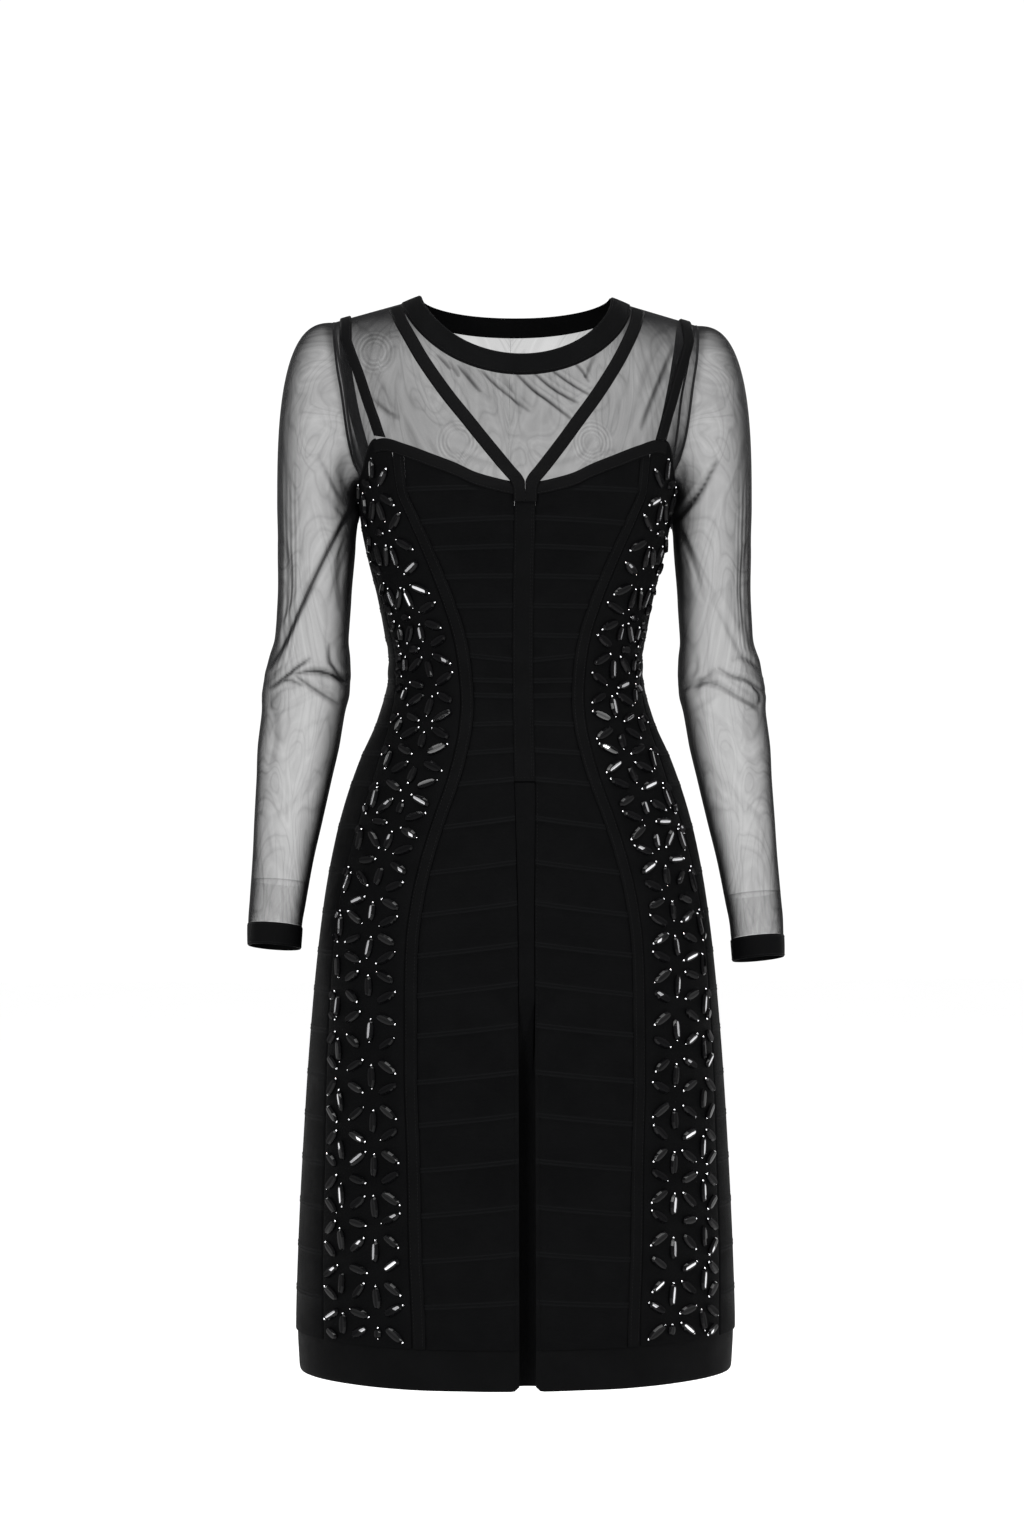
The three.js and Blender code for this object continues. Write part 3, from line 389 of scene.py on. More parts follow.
def grid_faces(index):
    corners = [index[:-1, :-1], index[1:, :-1], index[1:, 1:], index[:-1, 1:]]
    return np.stack(corners, -1).reshape(-1, 4)


def new_object(name, points, faces, material, cloth=None, smooth=True):
    mesh = bpy.data.meshes.new(name)
    corners = faces.shape[1]
    mesh.vertices.add(len(points))
    mesh.vertices.foreach_set("co", (np.asarray(points, float) * MM).ravel())
    mesh.loops.add(faces.size)
    mesh.loops.foreach_set("vertex_index", faces.astype(np.int32).ravel())
    mesh.polygons.add(len(faces))
    mesh.polygons.foreach_set("loop_start", np.arange(0, faces.size, corners, dtype=np.int32))
    mesh.update(calc_edges=True)
    mesh.validate()
    mesh.polygons.foreach_set("use_smooth", np.full(len(mesh.polygons), smooth))
    if cloth is not None:
        attribute = mesh.attributes.new("cloth", "FLOAT_VECTOR", "POINT")
        attribute.data.foreach_set("vector", (np.asarray(cloth, float)).ravel())
    if smooth:
        mesh.set_sharp_from_angle(angle=math.radians(60))
    mesh.materials.append(material)
    piece = bpy.data.objects.new(name, mesh)
    bpy.context.scene.collection.objects.link(piece)
    return piece


def on_side(grid, side):
    """The right-hand grid, or its mirror image for the left side."""
    if side == "right":
        return grid
    mirrored = grid[:, ::-1].copy()
    mirrored[..., 0] *= -1
    return mirrored


def shell(name, outer, inner, cloth, material, ring=False):
    """A closed thin wall between two grids whose rows run down and columns to the right."""
    rows, columns = outer.shape[:2]
    index = np.arange(rows * columns).reshape(rows, columns)
    if ring:
        index = np.concatenate([index, index[:, :1]], 1)
    under = index + rows * columns
    faces = [grid_faces(index), grid_faces(under)[:, ::-1]]
    rims = [(index[-1], under[-1], 1), (index[0], under[0], -1)]
    if not ring:
        rims += [(index[:, 0], under[:, 0], 1), (index[:, -1], under[:, -1], -1)]
    for edge, below, turn in rims:
        a, b, c, d = edge[1:], edge[:-1], below[:-1], below[1:]
        quads = np.stack([a, b, c, d] if turn > 0 else [b, a, d, c], -1)
        faces.append(quads)
    points = np.concatenate([outer.reshape(-1, 3), inner.reshape(-1, 3)])
    both = np.concatenate([cloth.reshape(-1, 3)] * 2)
    return new_object(name, points, np.concatenate(faces), material, both)


def single(name, grid, cloth, material, ring=False):
    """One layer of net, with no thickness of its own."""
    index = np.arange(grid.shape[0] * grid.shape[1]).reshape(grid.shape[:2])
    if ring:
        index = np.concatenate([index, index[:, :1]], 1)
    return new_object(name, grid.reshape(-1, 3), grid_faces(index), material, cloth.reshape(-1, 3))


def surface_normals(grid, ring=False):
    if ring:
        wrapped = np.concatenate([grid[:, -1:], grid, grid[:, :1]], 1)
        across = wrapped[:, 2:] - wrapped[:, :-2]
    else:
        across = np.gradient(grid, axis=1)
    return unit(np.cross(np.gradient(grid, axis=0), across))


def cloth_of(grid, third=None):
    """Lengths across and down the cloth in metres, and one more value, for the materials."""
    across = np.linalg.norm(np.diff(grid, axis=1), axis=-1)
    down = np.linalg.norm(np.diff(grid, axis=0), axis=-1)
    s = np.concatenate([np.zeros((len(grid), 1)), np.cumsum(across, 1)], 1)
    t = np.concatenate([np.zeros((1, grid.shape[1])), np.cumsum(down, 0)], 0)
    middle = s - s[:, [s.shape[1] // 2]]
    extra = np.zeros(s.shape) if third is None else third
    return np.stack([middle * MM, t * MM, extra], -1)


def creased(u, v, creases):
    """Relief in millimetres of soft creases laid along lines of (u, v) points, and painted shade along them:
    a dark line with a softer shade beside it.
    """
    relief = np.zeros(u.shape)
    dark = np.zeros(u.shape)
    for path, half, depth, sharp in creases:
        line = smooth_line(path, 4 * (len(path) - 1)).tolist()
        nearest = np.full(u.shape, np.inf)
        place = np.zeros(u.shape)
        count = len(line) - 1
        for k, ((u0, v0), (u1, v1)) in enumerate(zip(line, line[1:])):
            du, dv = u1 - u0, v1 - v0
            t = np.clip(((u - u0) * du + (v - v0) * dv) / (du * du + dv * dv), 0, 1)
            away = np.hypot(u - u0 - t * du, v - v0 - t * dv)
            place = np.where(away < nearest, (k + t) / count, place)
            nearest = np.minimum(nearest, away)
        taper = np.sqrt(np.clip(4 * place * (1 - place), 0, 1))
        relief -= depth * taper * np.exp(-((nearest / half) ** 2))
        relief += 0.35 * depth * taper * np.exp(-(((nearest - 2 * half) / half) ** 2))
        # painted shade: a dark line along each crease and a softer shade beside it
        painted_line_shade = np.exp(-((nearest / CREASE_LINE) ** 2))
        dark += sharp * taper * (painted_line_shade + 0.22 * np.exp(-((nearest / CREASE_SHADE) ** 2)))
    return relief, dark


def place_cloth(piece, nodes):
    """Hangs a cloth piece under the root empty and hides the solids that it replaces."""
    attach(piece, "root")
    if nodes:
        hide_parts(*nodes)


def flip_cloth(cloth, side):
    return cloth if side == "right" else cloth[:, ::-1]


def lay(name, side, grids, cloth, material, nodes, ring=False):
    """Makes a cloth piece: a thin wall between two grids, or one grid of net; it goes under the root and its
    solids are hidden.
    """
    cloth = flip_cloth(cloth, side)
    sided = [on_side(grid, side) for grid in grids]
    make = shell if len(grids) == 2 else single
    piece = make(name, *sided, cloth, material, ring)
    place_cloth(piece, nodes)


def place_hard(piece):
    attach(piece, "root")
    return piece


# Materials

class Shader:
    """A material's nodes, made with short calls."""

    def __init__(self, name):
        self.material = bpy.data.materials.new(name)
        self.material.use_nodes = True
        self.tree = self.material.node_tree
        self.tree.nodes.clear()

    def node(self, kind, inputs=None, **settings):
        made = self.tree.nodes.new("ShaderNode" + kind)
        for name, value in settings.items():
            setattr(made, name, value)
        for name, value in (inputs or {}).items():
            socket = made.inputs[name]
            if isinstance(value, bpy.types.NodeSocket):
                self.tree.links.new(value, socket)
            else:
                socket.default_value = value
        return made

    def math(self, operation, *values):
        return self.node("Math", dict(enumerate(values)), operation=operation).outputs[0]

    def add(self, total, *values):
        for value in values:
            total = self.math("ADD", total, value)
        return total

    def less(self, first, second):
        return self.math("SUBTRACT", first, second)

    def times(self, first, second):
        return self.math("MULTIPLY", first, second)

    def noise(self, place, scale, detail=3.0, roughness=0.5, distortion=0.0):
        inputs = {"Vector": place, "Scale": scale, "Detail": detail, "Roughness": roughness,
                  "Distortion": distortion}
        return self.node("TexNoise", inputs).outputs[0]

    def blend(self, share, dark, light):
        return self.node("Mix", {0: share, 6: dark, 7: light}, data_type="RGBA").outputs[2]

    def span(self, value, low, high, to_low, to_high):
        inputs = {"Value": value, "From Min": low, "From Max": high, "To Min": to_low,
                  "To Max": to_high}
        return self.node("MapRange", inputs).outputs[0]

    def cloth(self):
        """The piece's own lengths across and down in metres, and its third value."""
        found = self.node("Attribute", attribute_name="cloth").outputs["Vector"]
        parts = self.node("SeparateXYZ", {0: found}).outputs
        return found, parts[0], parts[1], parts[2]

    def bump(self, height, strength, distance):
        inputs = {"Strength": strength, "Distance": distance, "Height": height}
        return self.node("Bump", inputs).outputs[0]

    def principled(self, **inputs):
        names = {key.replace("_", " "): value for key, value in inputs.items()}
        return self.node("BsdfPrincipled", names).outputs[0]

    def surface(self, shader):
        output = self.node("OutputMaterial")
        self.tree.links.new(shader, output.inputs["Surface"])
        return self.material


def wave(s, length, pitch):
    """Sine of a length with a pitch, both in metres."""
    return s.math("SINE", s.times(length, 2 * math.pi / pitch))


def knit_material(name, dark, light, course, wale, gloss):
    """Dense stretch knit: fine courses across, wales down, and a painted highlight: the raised strips are
    painted lighter.
    """
    s = Shader(name)
    place, across, down, ridge = s.cloth()
    courses = s.math("ABSOLUTE", wave(s, down, 2 * course))
    rows = s.math("FLOOR", s.math("DIVIDE", down, course))
    loops = s.times(wave(s, s.add(across, s.times(rows, wale / 2)), wale), 0.45)
    patches = s.noise(place, 26.0, 4.0, 0.6)
    fuzz = s.noise(place, 2600.0, 2.0, 0.7)
    height = s.add(courses, loops, s.times(fuzz, 0.6))
    # painted highlight: the third value, the strips' height, lightens the colour on the raised strips
    share = s.add(s.times(patches, 0.55), s.times(fuzz, 0.45), s.times(ridge, 0.9))
    colours = {0: share, 6: (*dark, 1), 7: (*light, 1)}
    colour = s.node("Mix", colours, data_type="RGBA", clamp_factor=False).outputs[2]
    rough = s.span(patches, 0.3, 0.7, gloss + 0.08, gloss - 0.06)
    return s.surface(s.principled(
        Base_Color=colour, Roughness=rough, Specular_IOR_Level=0.02, Sheen_Weight=0.001,
        Sheen_Roughness=0.4, Normal=s.bump(height, 0.35, 0.00035),
    ))


# Pitch of the net's threads in metres
NET_PITCH = 0.0013


def net_material(name, cover):
    """Fine stretch net: threads thicken towards a glancing view, with a drifting grain. The third cloth value
    thickens them too: seams, moiré, and painted shade along creases, under the arms and beside the body.
    """
    s = Shader(name)
    across, down, folds = s.cloth()[1:]
    facing = s.node("LayerWeight", {"Blend": 0.5}).outputs["Facing"]
    slope = s.math("MAXIMUM", s.less(1.0, facing), 0.07)
    stretched = s.node("CombineXYZ", {0: across, 1: s.times(down, 0.42), 2: 0.0}).outputs[0]
    drift = s.noise(stretched, 15.0, 1.2, 0.5, 1.4)
    grain = s.math("POWER", s.math("ABSOLUTE", s.math("SINE", s.times(drift, 34.0))), 0.45)
    fine = s.math("SINE", s.times(drift, 150.0))
    one_way = wave(s, s.add(across, down), NET_PITCH)
    threads = s.times(one_way, wave(s, s.less(across, down), NET_PITCH))
    # thread cover from the third value carries painted shade as well as real seams and moiré
    thick = s.add(
        s.times(s.less(0.85, grain), 0.105), s.times(fine, 0.014), s.times(s.less(drift, 0.5), 0.25),
        s.times(threads, 0.09), cover, s.times(folds, 0.5),
    )
    thick = s.math("MINIMUM", s.math("MAXIMUM", thick, 0.05), 0.93)
    layers = s.math("POWER", s.math("DIVIDE", 1.0, slope), 1.7)
    through = s.math("POWER", s.less(1.0, thick), layers)
    tone = s.blend(drift, (0.006, 0.006, 0.0065, 1), (0.014, 0.014, 0.0145, 1))
    threads_shader = s.principled(
        Base_Color=tone, Roughness=0.62, Specular_IOR_Level=0.02, Sheen_Weight=0.002,
        Sheen_Roughness=0.4, Normal=s.bump(threads, 0.3, 0.0003),
    )
    clear = s.node("BsdfTransparent").outputs[0]
    return s.surface(s.node("MixShader", {0: through, 1: threads_shader, 2: clear}).outputs[0])


def satin_material(name):
    """Smooth folded binding with a faint lengthwise rib."""
    s = Shader(name)
    place, across, down = s.cloth()[:3]
    ribs = s.math("ABSOLUTE", wave(s, across, 0.0016))
    patches = s.noise(place, 60.0, 4.0, 0.6)
    fuzz = s.noise(place, 2400.0, 2.0, 0.7)
    height = s.add(ribs, s.times(wave(s, down, 0.0009), 0.3), s.times(fuzz, 0.4))
    colour = s.blend(patches, (0.0007, 0.0007, 0.0008, 1), (0.002, 0.002, 0.0022, 1))
    rough = s.span(patches, 0.3, 0.7, 0.52, 0.62)
    return s.surface(s.principled(
        Base_Color=colour, Roughness=rough, Specular_IOR_Level=0.035, Sheen_Weight=0.001,
        Sheen_Roughness=0.4, Normal=s.bump(height, 0.3, 0.0003),
    ))


def jet_material(name):
    """Glossy black cut glass, with painted highlights: a bright metallic streak where a stone's third value
    is 2, and reflectivity painted higher towards the rims.
    """
    s = Shader(name)
    place = s.node("TexCoord").outputs["Object"]
    cloudy = s.noise(place, 90.0, 3.0, 0.6)
    scuffs = s.noise(place, 1400.0, 3.0, 0.7)
    painted_glint = s.cloth()[3]
    # painted highlight: crest values of 2 turn to bright metal, and the value also raises reflectivity,
    # painting brighter rims
    painted_streak = s.span(painted_glint, 1.52, 1.68, 0.0, 1.0)
    glass = s.blend(cloudy, (0.0012, 0.0012, 0.0014, 1), (0.003, 0.003, 0.0033, 1))
    return s.surface(s.principled(
        Base_Color=s.blend(painted_streak, glass, (0.8, 0.8, 0.82, 1)), Metallic=painted_streak,
        Roughness=s.span(scuffs, 0.35, 0.75, 0.05, 0.12), IOR=1.45,
        Specular_IOR_Level=s.span(painted_glint, 0.0, 1.0, 0.02, 0.17), Normal=s.bump(cloudy, 0.05, 0.0004),
    ))


def metal_material(name):
    """Small bright beads at the tips of the stones."""
    s = Shader(name)
    place = s.node("TexCoord").outputs["Object"]
    wear = s.noise(place, 700.0, 3.0, 0.6)
    colour = s.blend(wear, (0.55, 0.55, 0.57, 1), (0.88, 0.88, 0.9, 1))
    rough = s.span(wear, 0.3, 0.7, 0.12, 0.24)
    return s.surface(s.principled(Base_Color=colour, Roughness=rough, Metallic=1.0))


def thread_material(name):
    """Twisted sewing thread."""
    s = Shader(name)
    place = s.node("TexCoord").outputs["Object"]
    twist = s.noise(place, 3200.0, 2.0, 0.6)
    colour = s.blend(twist, (0.003, 0.003, 0.0033, 1), (0.009, 0.009, 0.0095, 1))
    return s.surface(s.principled(
        Base_Color=colour, Roughness=0.55, Specular_IOR_Level=0.08, Normal=s.bump(twist, 0.4, 0.0002),
    ))


KNIT = knit_material("knit", (0.0006, 0.0006, 0.0007), (0.0026, 0.0027, 0.0029), 0.0011, 0.0010, 0.62)
KNIT_BAND = knit_material(
    "knit_band", (0.0009, 0.0009, 0.001), (0.003, 0.0031, 0.0033), 0.0009, 0.0009, 0.6,
)
NET = net_material("net", 0.285)
SATIN = satin_material("satin")
JET = jet_material("jet")
METAL = metal_material("tips")
THREAD = thread_material("thread")


# Levels of a panel, from its upper edge to the hem of the outer layer

LAST_LEVEL = len(STRIPS) + 1
GAP_ROWS = 5


def stations(strips):
    """Rows of a panel: the levels above and below, the share between them, their offsets, the rise."""
    rows = [(0, 0, 0.0, 0.0, 0.0, 0.0)]
    for below in range(1, LAST_LEVEL + 1):
        above = below - 1
        upper = -STRIP_EDGE if above else 0.0
        lower = STRIP_EDGE if below < LAST_LEVEL else 0.0
        for k in range(GAP_ROWS):
            rows.append((above, below, (k + 1) / (GAP_ROWS + 1), upper, lower, 0.0))
        if below < LAST_LEVEL and strips:
            rows += [(below, below, 0.0, offset, offset, rise) for offset, rise in STRIP_PROFILE]
    rows.append((LAST_LEVEL, LAST_LEVEL, 0.0, 0.0, 0.0, 0.0))
    return np.array(rows)


def level_height(level, share, angle):
    """Height of a level: 0 is the upper edge, the last is the hem, the rest are strips."""
    strip = np.clip(level - 1, 0, len(STRIPS) - 1)
    top = panel_top(angle)
    height = STRIPS[strip, 0] - STRIPS[strip, 1] * share
    height = np.where(strip < 2, np.minimum(height, top - 4 - 1.2 * strip), height)
    height = np.where(level == 0, top, height)
    return np.where(level == LAST_LEVEL, SHELL_HEM, height)


def panel_places(start, end, shares, drop, strips=True):
    """Angle, height and strip rise over a panel between two seams."""
    rows = stations(strips)
    above = rows[:, 0].astype(int)[:, None]
    below = rows[:, 1].astype(int)[:, None]
    part, upper, lower, rise = (rows[:, k][:, None] for k in range(2, 6))
    u = np.asarray(shares, float)[None, :]
    z = np.full((len(rows), u.shape[1]), -400.0)
    for _ in range(12):
        angle = lerp(SEAMS[start](z), SEAMS[end](z), u)
        high = level_height(above, drop(u), angle) + upper
        low = level_height(below, drop(u), angle) + lower
        z = lerp(high, low, part)
    covered = np.where(angle < BOUND_END, BINDING_WIDTH + 3, 3)
    open_to_view = z < bodice_top(angle) - covered
    return angle, z, np.where(open_to_view, rise, 0.0) * np.ones(z.shape)


def even_shares(count, edge=0.012):
    """Shares from 0 to 1 with two close columns at each edge, where the seam rolls in."""
    inside = np.linspace(0.04, 0.96, count)
    return np.concatenate([[0, edge], inside, [1 - edge, 1]])


def seam_roll(across, depth=0.9, width=1.0):
    """How far the cloth sinks towards the seams at both ends of each row."""
    first = across - across[:, :1]
    last = across[:, -1:] - across
    return depth * (np.exp(-((first / width) ** 2)) + np.exp(-((last / width) ** 2)))


def body_panel(name, node, side, start, end, shares, drop, material, strips=True, extra=None,
               strip_share=1.0):
    """A knit panel on the body form: strips raised, seams rolled in, folds followed."""
    angle, z, rise = panel_places(start, end, shares, drop, strips)
    lengths = cloth_of(form(angle, z))
    across = (lengths[..., 0] - lengths[:, :1, 0]) / MM
    lift = PANEL_WALL + rise * strip_share - seam_roll(across)
    if extra is not None:
        lift = lift + extra(angle, z, across)
    grids = [body(angle, z, lift, side), body(angle, z, INNER_LIFT, side)]
    # the strips' full height goes to the knit as its third value and paints them lighter, a painted
    # highlight, also on the back where the strips are lower
    cloth = np.stack([lengths[..., 0], -z * MM, rise], -1)
    lay(name, side, grids, cloth, material, [node])


# Beads

def lattice_column(column):
    flowers = INNER_FLOWERS if column < 2 else OUTER_FLOWERS
    halfway = [(a + b) / 2 for a, b in zip(flowers, flowers[1:])]
    heights = halfway if column in (0, 3) else flowers

    def distance(z):
        if column == 0:
            return 0.0
        return float(LATTICE.read(("", "inner", "outer", "width")[column], z))

    top = -120.0
    for _ in range(30):
        top = lerp(top, float(panel_top(angle_along(SEAMS["bead_inner"](top), distance(top), top))), 0.5)
    points = [(distance(top), top, column, "top")]
    for z in heights:
        if SHELL_HEM + 12 < z < top - 11:
            points.append((distance(z), z, column, ""))
    points.append((distance(SHELL_HEM), SHELL_HEM, column, "hem"))
    return points


def bead_on(a, b):
    """Middle, direction and length of the bead on one lattice edge, or nothing."""
    if (a[2], -a[1]) > (b[2], -b[1]):
        a, b = b, a
    length = math.hypot(a[0] - b[0], a[1] - b[1])
    size = min(BEAD_LENGTH, length - 2 * BEAD_CLEAR)
    on_seam = a[2] == b[2] and a[2] in (0, 3)
    on_end = a[3] != "" and a[3] == b[3]
    angle = float(angle_along(SEAMS["bead_inner"](a[1]), a[0], a[1]))
    cover = float(bodice_top(angle)) - (BINDING_WIDTH + 1 if angle < math.radians(64) else 1)
    reach = abs(a[1] - b[1]) * 0.5 * size / length
    if on_seam or on_end or size < BEAD_SHORTEST or (a[1] + b[1]) / 2 + reach > cover:
        return None
    middle = ((a[0] + b[0]) / 2, (a[1] + b[1]) / 2)
    return middle, ((b[0] - a[0]) / length, (b[1] - a[1]) / length), size


def bead_list():
    """All beads of one panel, one for each inner edge of the lattice's triangles."""
    columns = [lattice_column(k) for k in range(4)]
    found = {}
    for a, b in zip(columns, columns[1:]):
        i = k = 0
        while i + 1 < len(a) or k + 1 < len(b):
            down_a = math.dist(a[i + 1][:2], b[k][:2]) if i + 1 < len(a) else math.inf
            down_b = math.dist(a[i][:2], b[k + 1][:2]) if k + 1 < len(b) else math.inf
            if down_a <= down_b:
                corners = [a[i], a[i + 1], b[k]]
                i += 1
            else:
                corners = [a[i], b[k + 1], b[k]]
                k += 1
            for p, q in zip(corners, corners[1:] + corners[:1]):
                key = tuple(sorted([(p[2], round(p[1], 3)), (q[2], round(q[1], 3))]))
                if key not in found:
                    found[key] = bead_on(p, q)
    return [bead for bead in found.values() if bead]


def on_panel(s, z, lift, side):
    return body(angle_along(SEAMS["bead_inner"](z), s, z), z, lift, side)


STONE_X = np.array([-0.5, -0.4, -0.16, 0.16, 0.4, 0.5])
STONE_HALF = np.array([0.36, 0.76, 1.0, 1.0, 0.76, 0.36])


def stone_shape(length, width, rise):
    """A faceted marquise stone: points along, across and up, and its triangles."""
    ring_x = np.concatenate([STONE_X, STONE_X[::-1]]) * length
    ring_y = np.concatenate([STONE_HALF, -STONE_HALF[::-1]]) * width / 2
    layers = [(0.9, 0.86, -0.5), (1.0, 1.0, 0.35 * rise), (0.86, 0.72, rise)]
    points = [np.stack([ring_x * a, ring_y * b, np.full(12, h)], -1) for a, b, h in layers]
    points.append(np.stack([STONE_X * length * 0.86, 0 * STONE_X, np.full(6, rise + 0.12)], -1))
    faces = []
    for layer in range(2):
        for k in range(12):
            a, b = layer * 12 + k, layer * 12 + (k + 1) % 12
            faces += [(a, a + 12, b + 12), (a, b + 12, b)]
    faces += [(0, k, k + 1) for k in range(1, 11)]
    faces += [(24, 35, 36), (30, 29, 41)]
    for k in range(5):
        a, c, m = 24 + k, 35 - k, 36 + k
        faces += [(m, m + 1, a + 1), (m, a + 1, a), (c, c - 1, m + 1), (c, m + 1, m)]
    return np.concatenate(points), np.array(faces)


def ball_shape(radius, rings=5, sides=8):
    """A small ball: its points and its triangles."""
    points = [(0, 0, radius)]
    for r in range(1, rings):
        out, up = radius * math.sin(math.pi * r / rings), radius * math.cos(math.pi * r / rings)
        turns = [2 * math.pi * k / sides for k in range(sides)]
        points += [(out * math.cos(turn), out * math.sin(turn), up) for turn in turns]
    points.append((0, 0, -radius))
    faces = []
    for k in range(sides):
        n = (k + 1) % sides
        faces.append((0, 1 + k, 1 + n))
        for r in range(rings - 2):
            a = 1 + r * sides
            faces += [(a + k, a + sides + k, a + sides + n), (a + k, a + sides + n, a + n)]
        a = 1 + (rings - 2) * sides
        faces.append((a + k, len(points) - 1, a + n))
    return np.array(points), np.array(faces)


def placed(shape, middle, along, across, up, sign):
    points, faces = shape
    moved = middle + points[:, :1] * along + points[:, 1:2] * across + points[:, 2:] * up
    moved = moved * np.array([sign, 1, 1])
    return moved, faces if sign > 0 else faces[:, ::-1]


def join_shapes(parts):
    points, faces, count = [], [], 0
    for part_points, part_faces in parts:
        points.append(part_points)
        faces.append(part_faces + count)
        count += len(part_points)
    return np.concatenate(points), np.concatenate(faces)


# Share of the stones given a painted highlight streak: steep, rising outwards, falling outwards
LIT_SHARE = {"left": (0.34, 0.03, 0.09), "right": (0.6, 0.3, 0.05)}
# Painted brightness of a stone's crest from end to end: 2 is a painted highlight streak
LIT_CREST = [0.3, 2, 2, 2, 2, 0.3]
TIP_LIT_CREST = [0.3, 2, 2, 0.3, 0.3, 0.3]
DARK_CREST = [0.3] * 6
TIP_LIT_SHARE = 0.09
# Painted glint levels of a stone's foot, girdle and upper ring, brightest at the upper ring
STONE_SIDES = [0.0] * 12 + [0.3] * 12 + [1.0] * 12


def painted_crest(side, ds, dz, draw):
    """Painted highlight of a stone's crest, by its direction and a random draw."""
    lit = LIT_SHARE[side][0 if abs(dz) > STEEP else 1 if ds * dz > 0 else 2]
    if draw < lit:
        return LIT_CREST
    return TIP_LIT_CREST if draw < lit + TIP_LIT_SHARE else DARK_CREST


def beads(side):
    """The stones and their tips on one panel."""
    rng = np.random.default_rng(7 if side == "right" else 11)
    sign = 1 if side == "right" else -1
    stones, tips, painted_glints = [], [], []
    large, small = ball_shape(TIP_LARGE), ball_shape(TIP_SMALL)
    for (s, z), (ds, dz), size in BEAD_PLACES:
        tilt = rng.normal(0, 0.08, 3)
        turn = rng.normal(0, math.radians(3.5))
        ds, dz = ds * math.cos(turn) - dz * math.sin(turn), ds * math.sin(turn) + dz * math.cos(turn)
        places = [(s + ds * share * size, z + dz * share * size) for share in (-0.5, 0, 0.5)]
        start, middle, end = (on_panel(a, b, PANEL_WALL, side) for a, b in places)
        along = unit(end - start)
        up = on_panel(*places[1], PANEL_WALL + 1, side) - middle
        up = unit(up - along * (up @ along))
        up = unit(up + np.cross(up, along) * tilt[0] + along * tilt[1])
        along = unit(along - up * (up @ along))
        across = np.cross(up, along)
        length = (size - STONE_PAD) * (1 - 0.8 * abs(tilt[2]))
        stone = stone_shape(length, BEAD_WIDTH * (1.08 + 0.7 * tilt[2]), BEAD_RISE)
        stones.append(placed(stone, middle, along, across, up, sign))
        # painted highlights: the stone's rim levels and its crest streak go to the glass as its third value
        painted_glints += STONE_SIDES + painted_crest(side, ds, dz, rng.random())
        front_end = 1 if rng.random() < 0.15 else -1
        ends = [(large, TIP_LARGE, front_end), (small, TIP_SMALL, -front_end)]
        first = 0 if rng.random() < 0.85 else 1
        for ball, radius, end_sign in ends[first:2 if rng.random() < 0.4 else 1]:
            out = length / 2 + TIP_GAP + radius * 0.6
            tips.append(placed(ball, middle + along * end_sign * out + up * radius, along, across, up, sign))
    points, faces = join_shapes(stones)
    cloth = np.zeros((len(points), 3))
    cloth[:, 2] = painted_glints
    stone_piece = new_object(f"beads_{side}", points, faces, JET, cloth, smooth=False)
    tip_piece = new_object(f"bead_tips_{side}", *join_shapes(tips), METAL)
    return [place_hard(stone_piece), place_hard(tip_piece)]


BEAD_PLACES = bead_list()


# Stitching

STITCH_POINTS = np.array([
    (-1.1, 0, 0), (1.1, 0, 0), (0, 0.22, 0.05), (0, -0.22, 0.05), (0, 0, 0.3), (0, 0, -0.2),
])
STITCH_FACES = np.array([
    (0, 4, 2), (2, 4, 1), (1, 4, 3), (3, 4, 0), (0, 2, 5), (2, 1, 5), (1, 3, 5), (3, 0, 5),
])


def stitch_parts(points, normals, pitch=3.2):
    """Stitches laid along a line of points on the cloth."""
    step = np.linalg.norm(np.diff(points, axis=0), axis=1)
    run = np.concatenate([[0], np.cumsum(step)])
    places = np.arange(pitch / 2, run[-1], pitch)
    spots = np.stack([np.interp(places, run, points[:, k]) for k in range(3)], -1)
    ahead = np.stack([np.interp(places + 0.5, run, points[:, k]) for k in range(3)], -1)
    ups = unit(np.stack([np.interp(places, run, normals[:, k]) for k in range(3)], -1))
    parts = []
    for spot, front, up in zip(spots, ahead, ups):
        along = unit(front - spot + 1e-9)
        parts.append(placed((STITCH_POINTS, STITCH_FACES), spot, along, unit(np.cross(up, along)), up, 1))
    return parts


def sew(name, lines, pitch=3.2, side="right"):
    """Rows of stitches along lines of points with their normals, mirrored for the left side."""
    flip = [1 if side == "right" else -1, 1, 1]
    parts = []
    for points, normals in lines:
        parts += stitch_parts(points * flip, normals * flip, pitch)
    place_hard(new_object(name, *join_shapes(parts), THREAD, smooth=False))


def seam_line(angle, z, lift, side=None):
    """Points just above a panel and the directions away from it, on its folds if a side is given."""
    def place(high):
        return form(angle, z, high) if side is None else body(angle, z, high, side)

    points = place(PANEL_WALL + lift)
    return points, unit(place(PANEL_WALL + 2) - points)


def grid_line(grid, normals, column=None, row=None, lift=0.05):
    """One column or row of a grid, lifted a little, with its normals."""
    chosen = (slice(None), column) if column is not None else row
    return grid[chosen] + normals[chosen] * lift, normals[chosen]


# Yoke and shoulder surface by distance from the centre and height

def shoulder_z(x):
    return NECK["side_z"] - (np.abs(x) - NECK["half"]) * SHOULDER_SLOPE


def yoke_point(x, z, back):
    x, z = np.broadcast_arrays(np.asarray(x, float), np.asarray(z, float))
    depth = SECTIONS.read("back" if back else "front", z)
    across = np.maximum(0, 1 - (np.abs(x) / SECTIONS.read("half", z)) ** SQUARENESS) ** (1 / SQUARENESS)
    below = np.clip((shoulder_z(x) - z) / RIDGE, 0, 1)
    y = np.maximum(SEAM_GAP / 2, depth * across * np.sqrt(1 - (1 - below) ** 2))
    return np.stack([x, y if back else -y, z], -1)


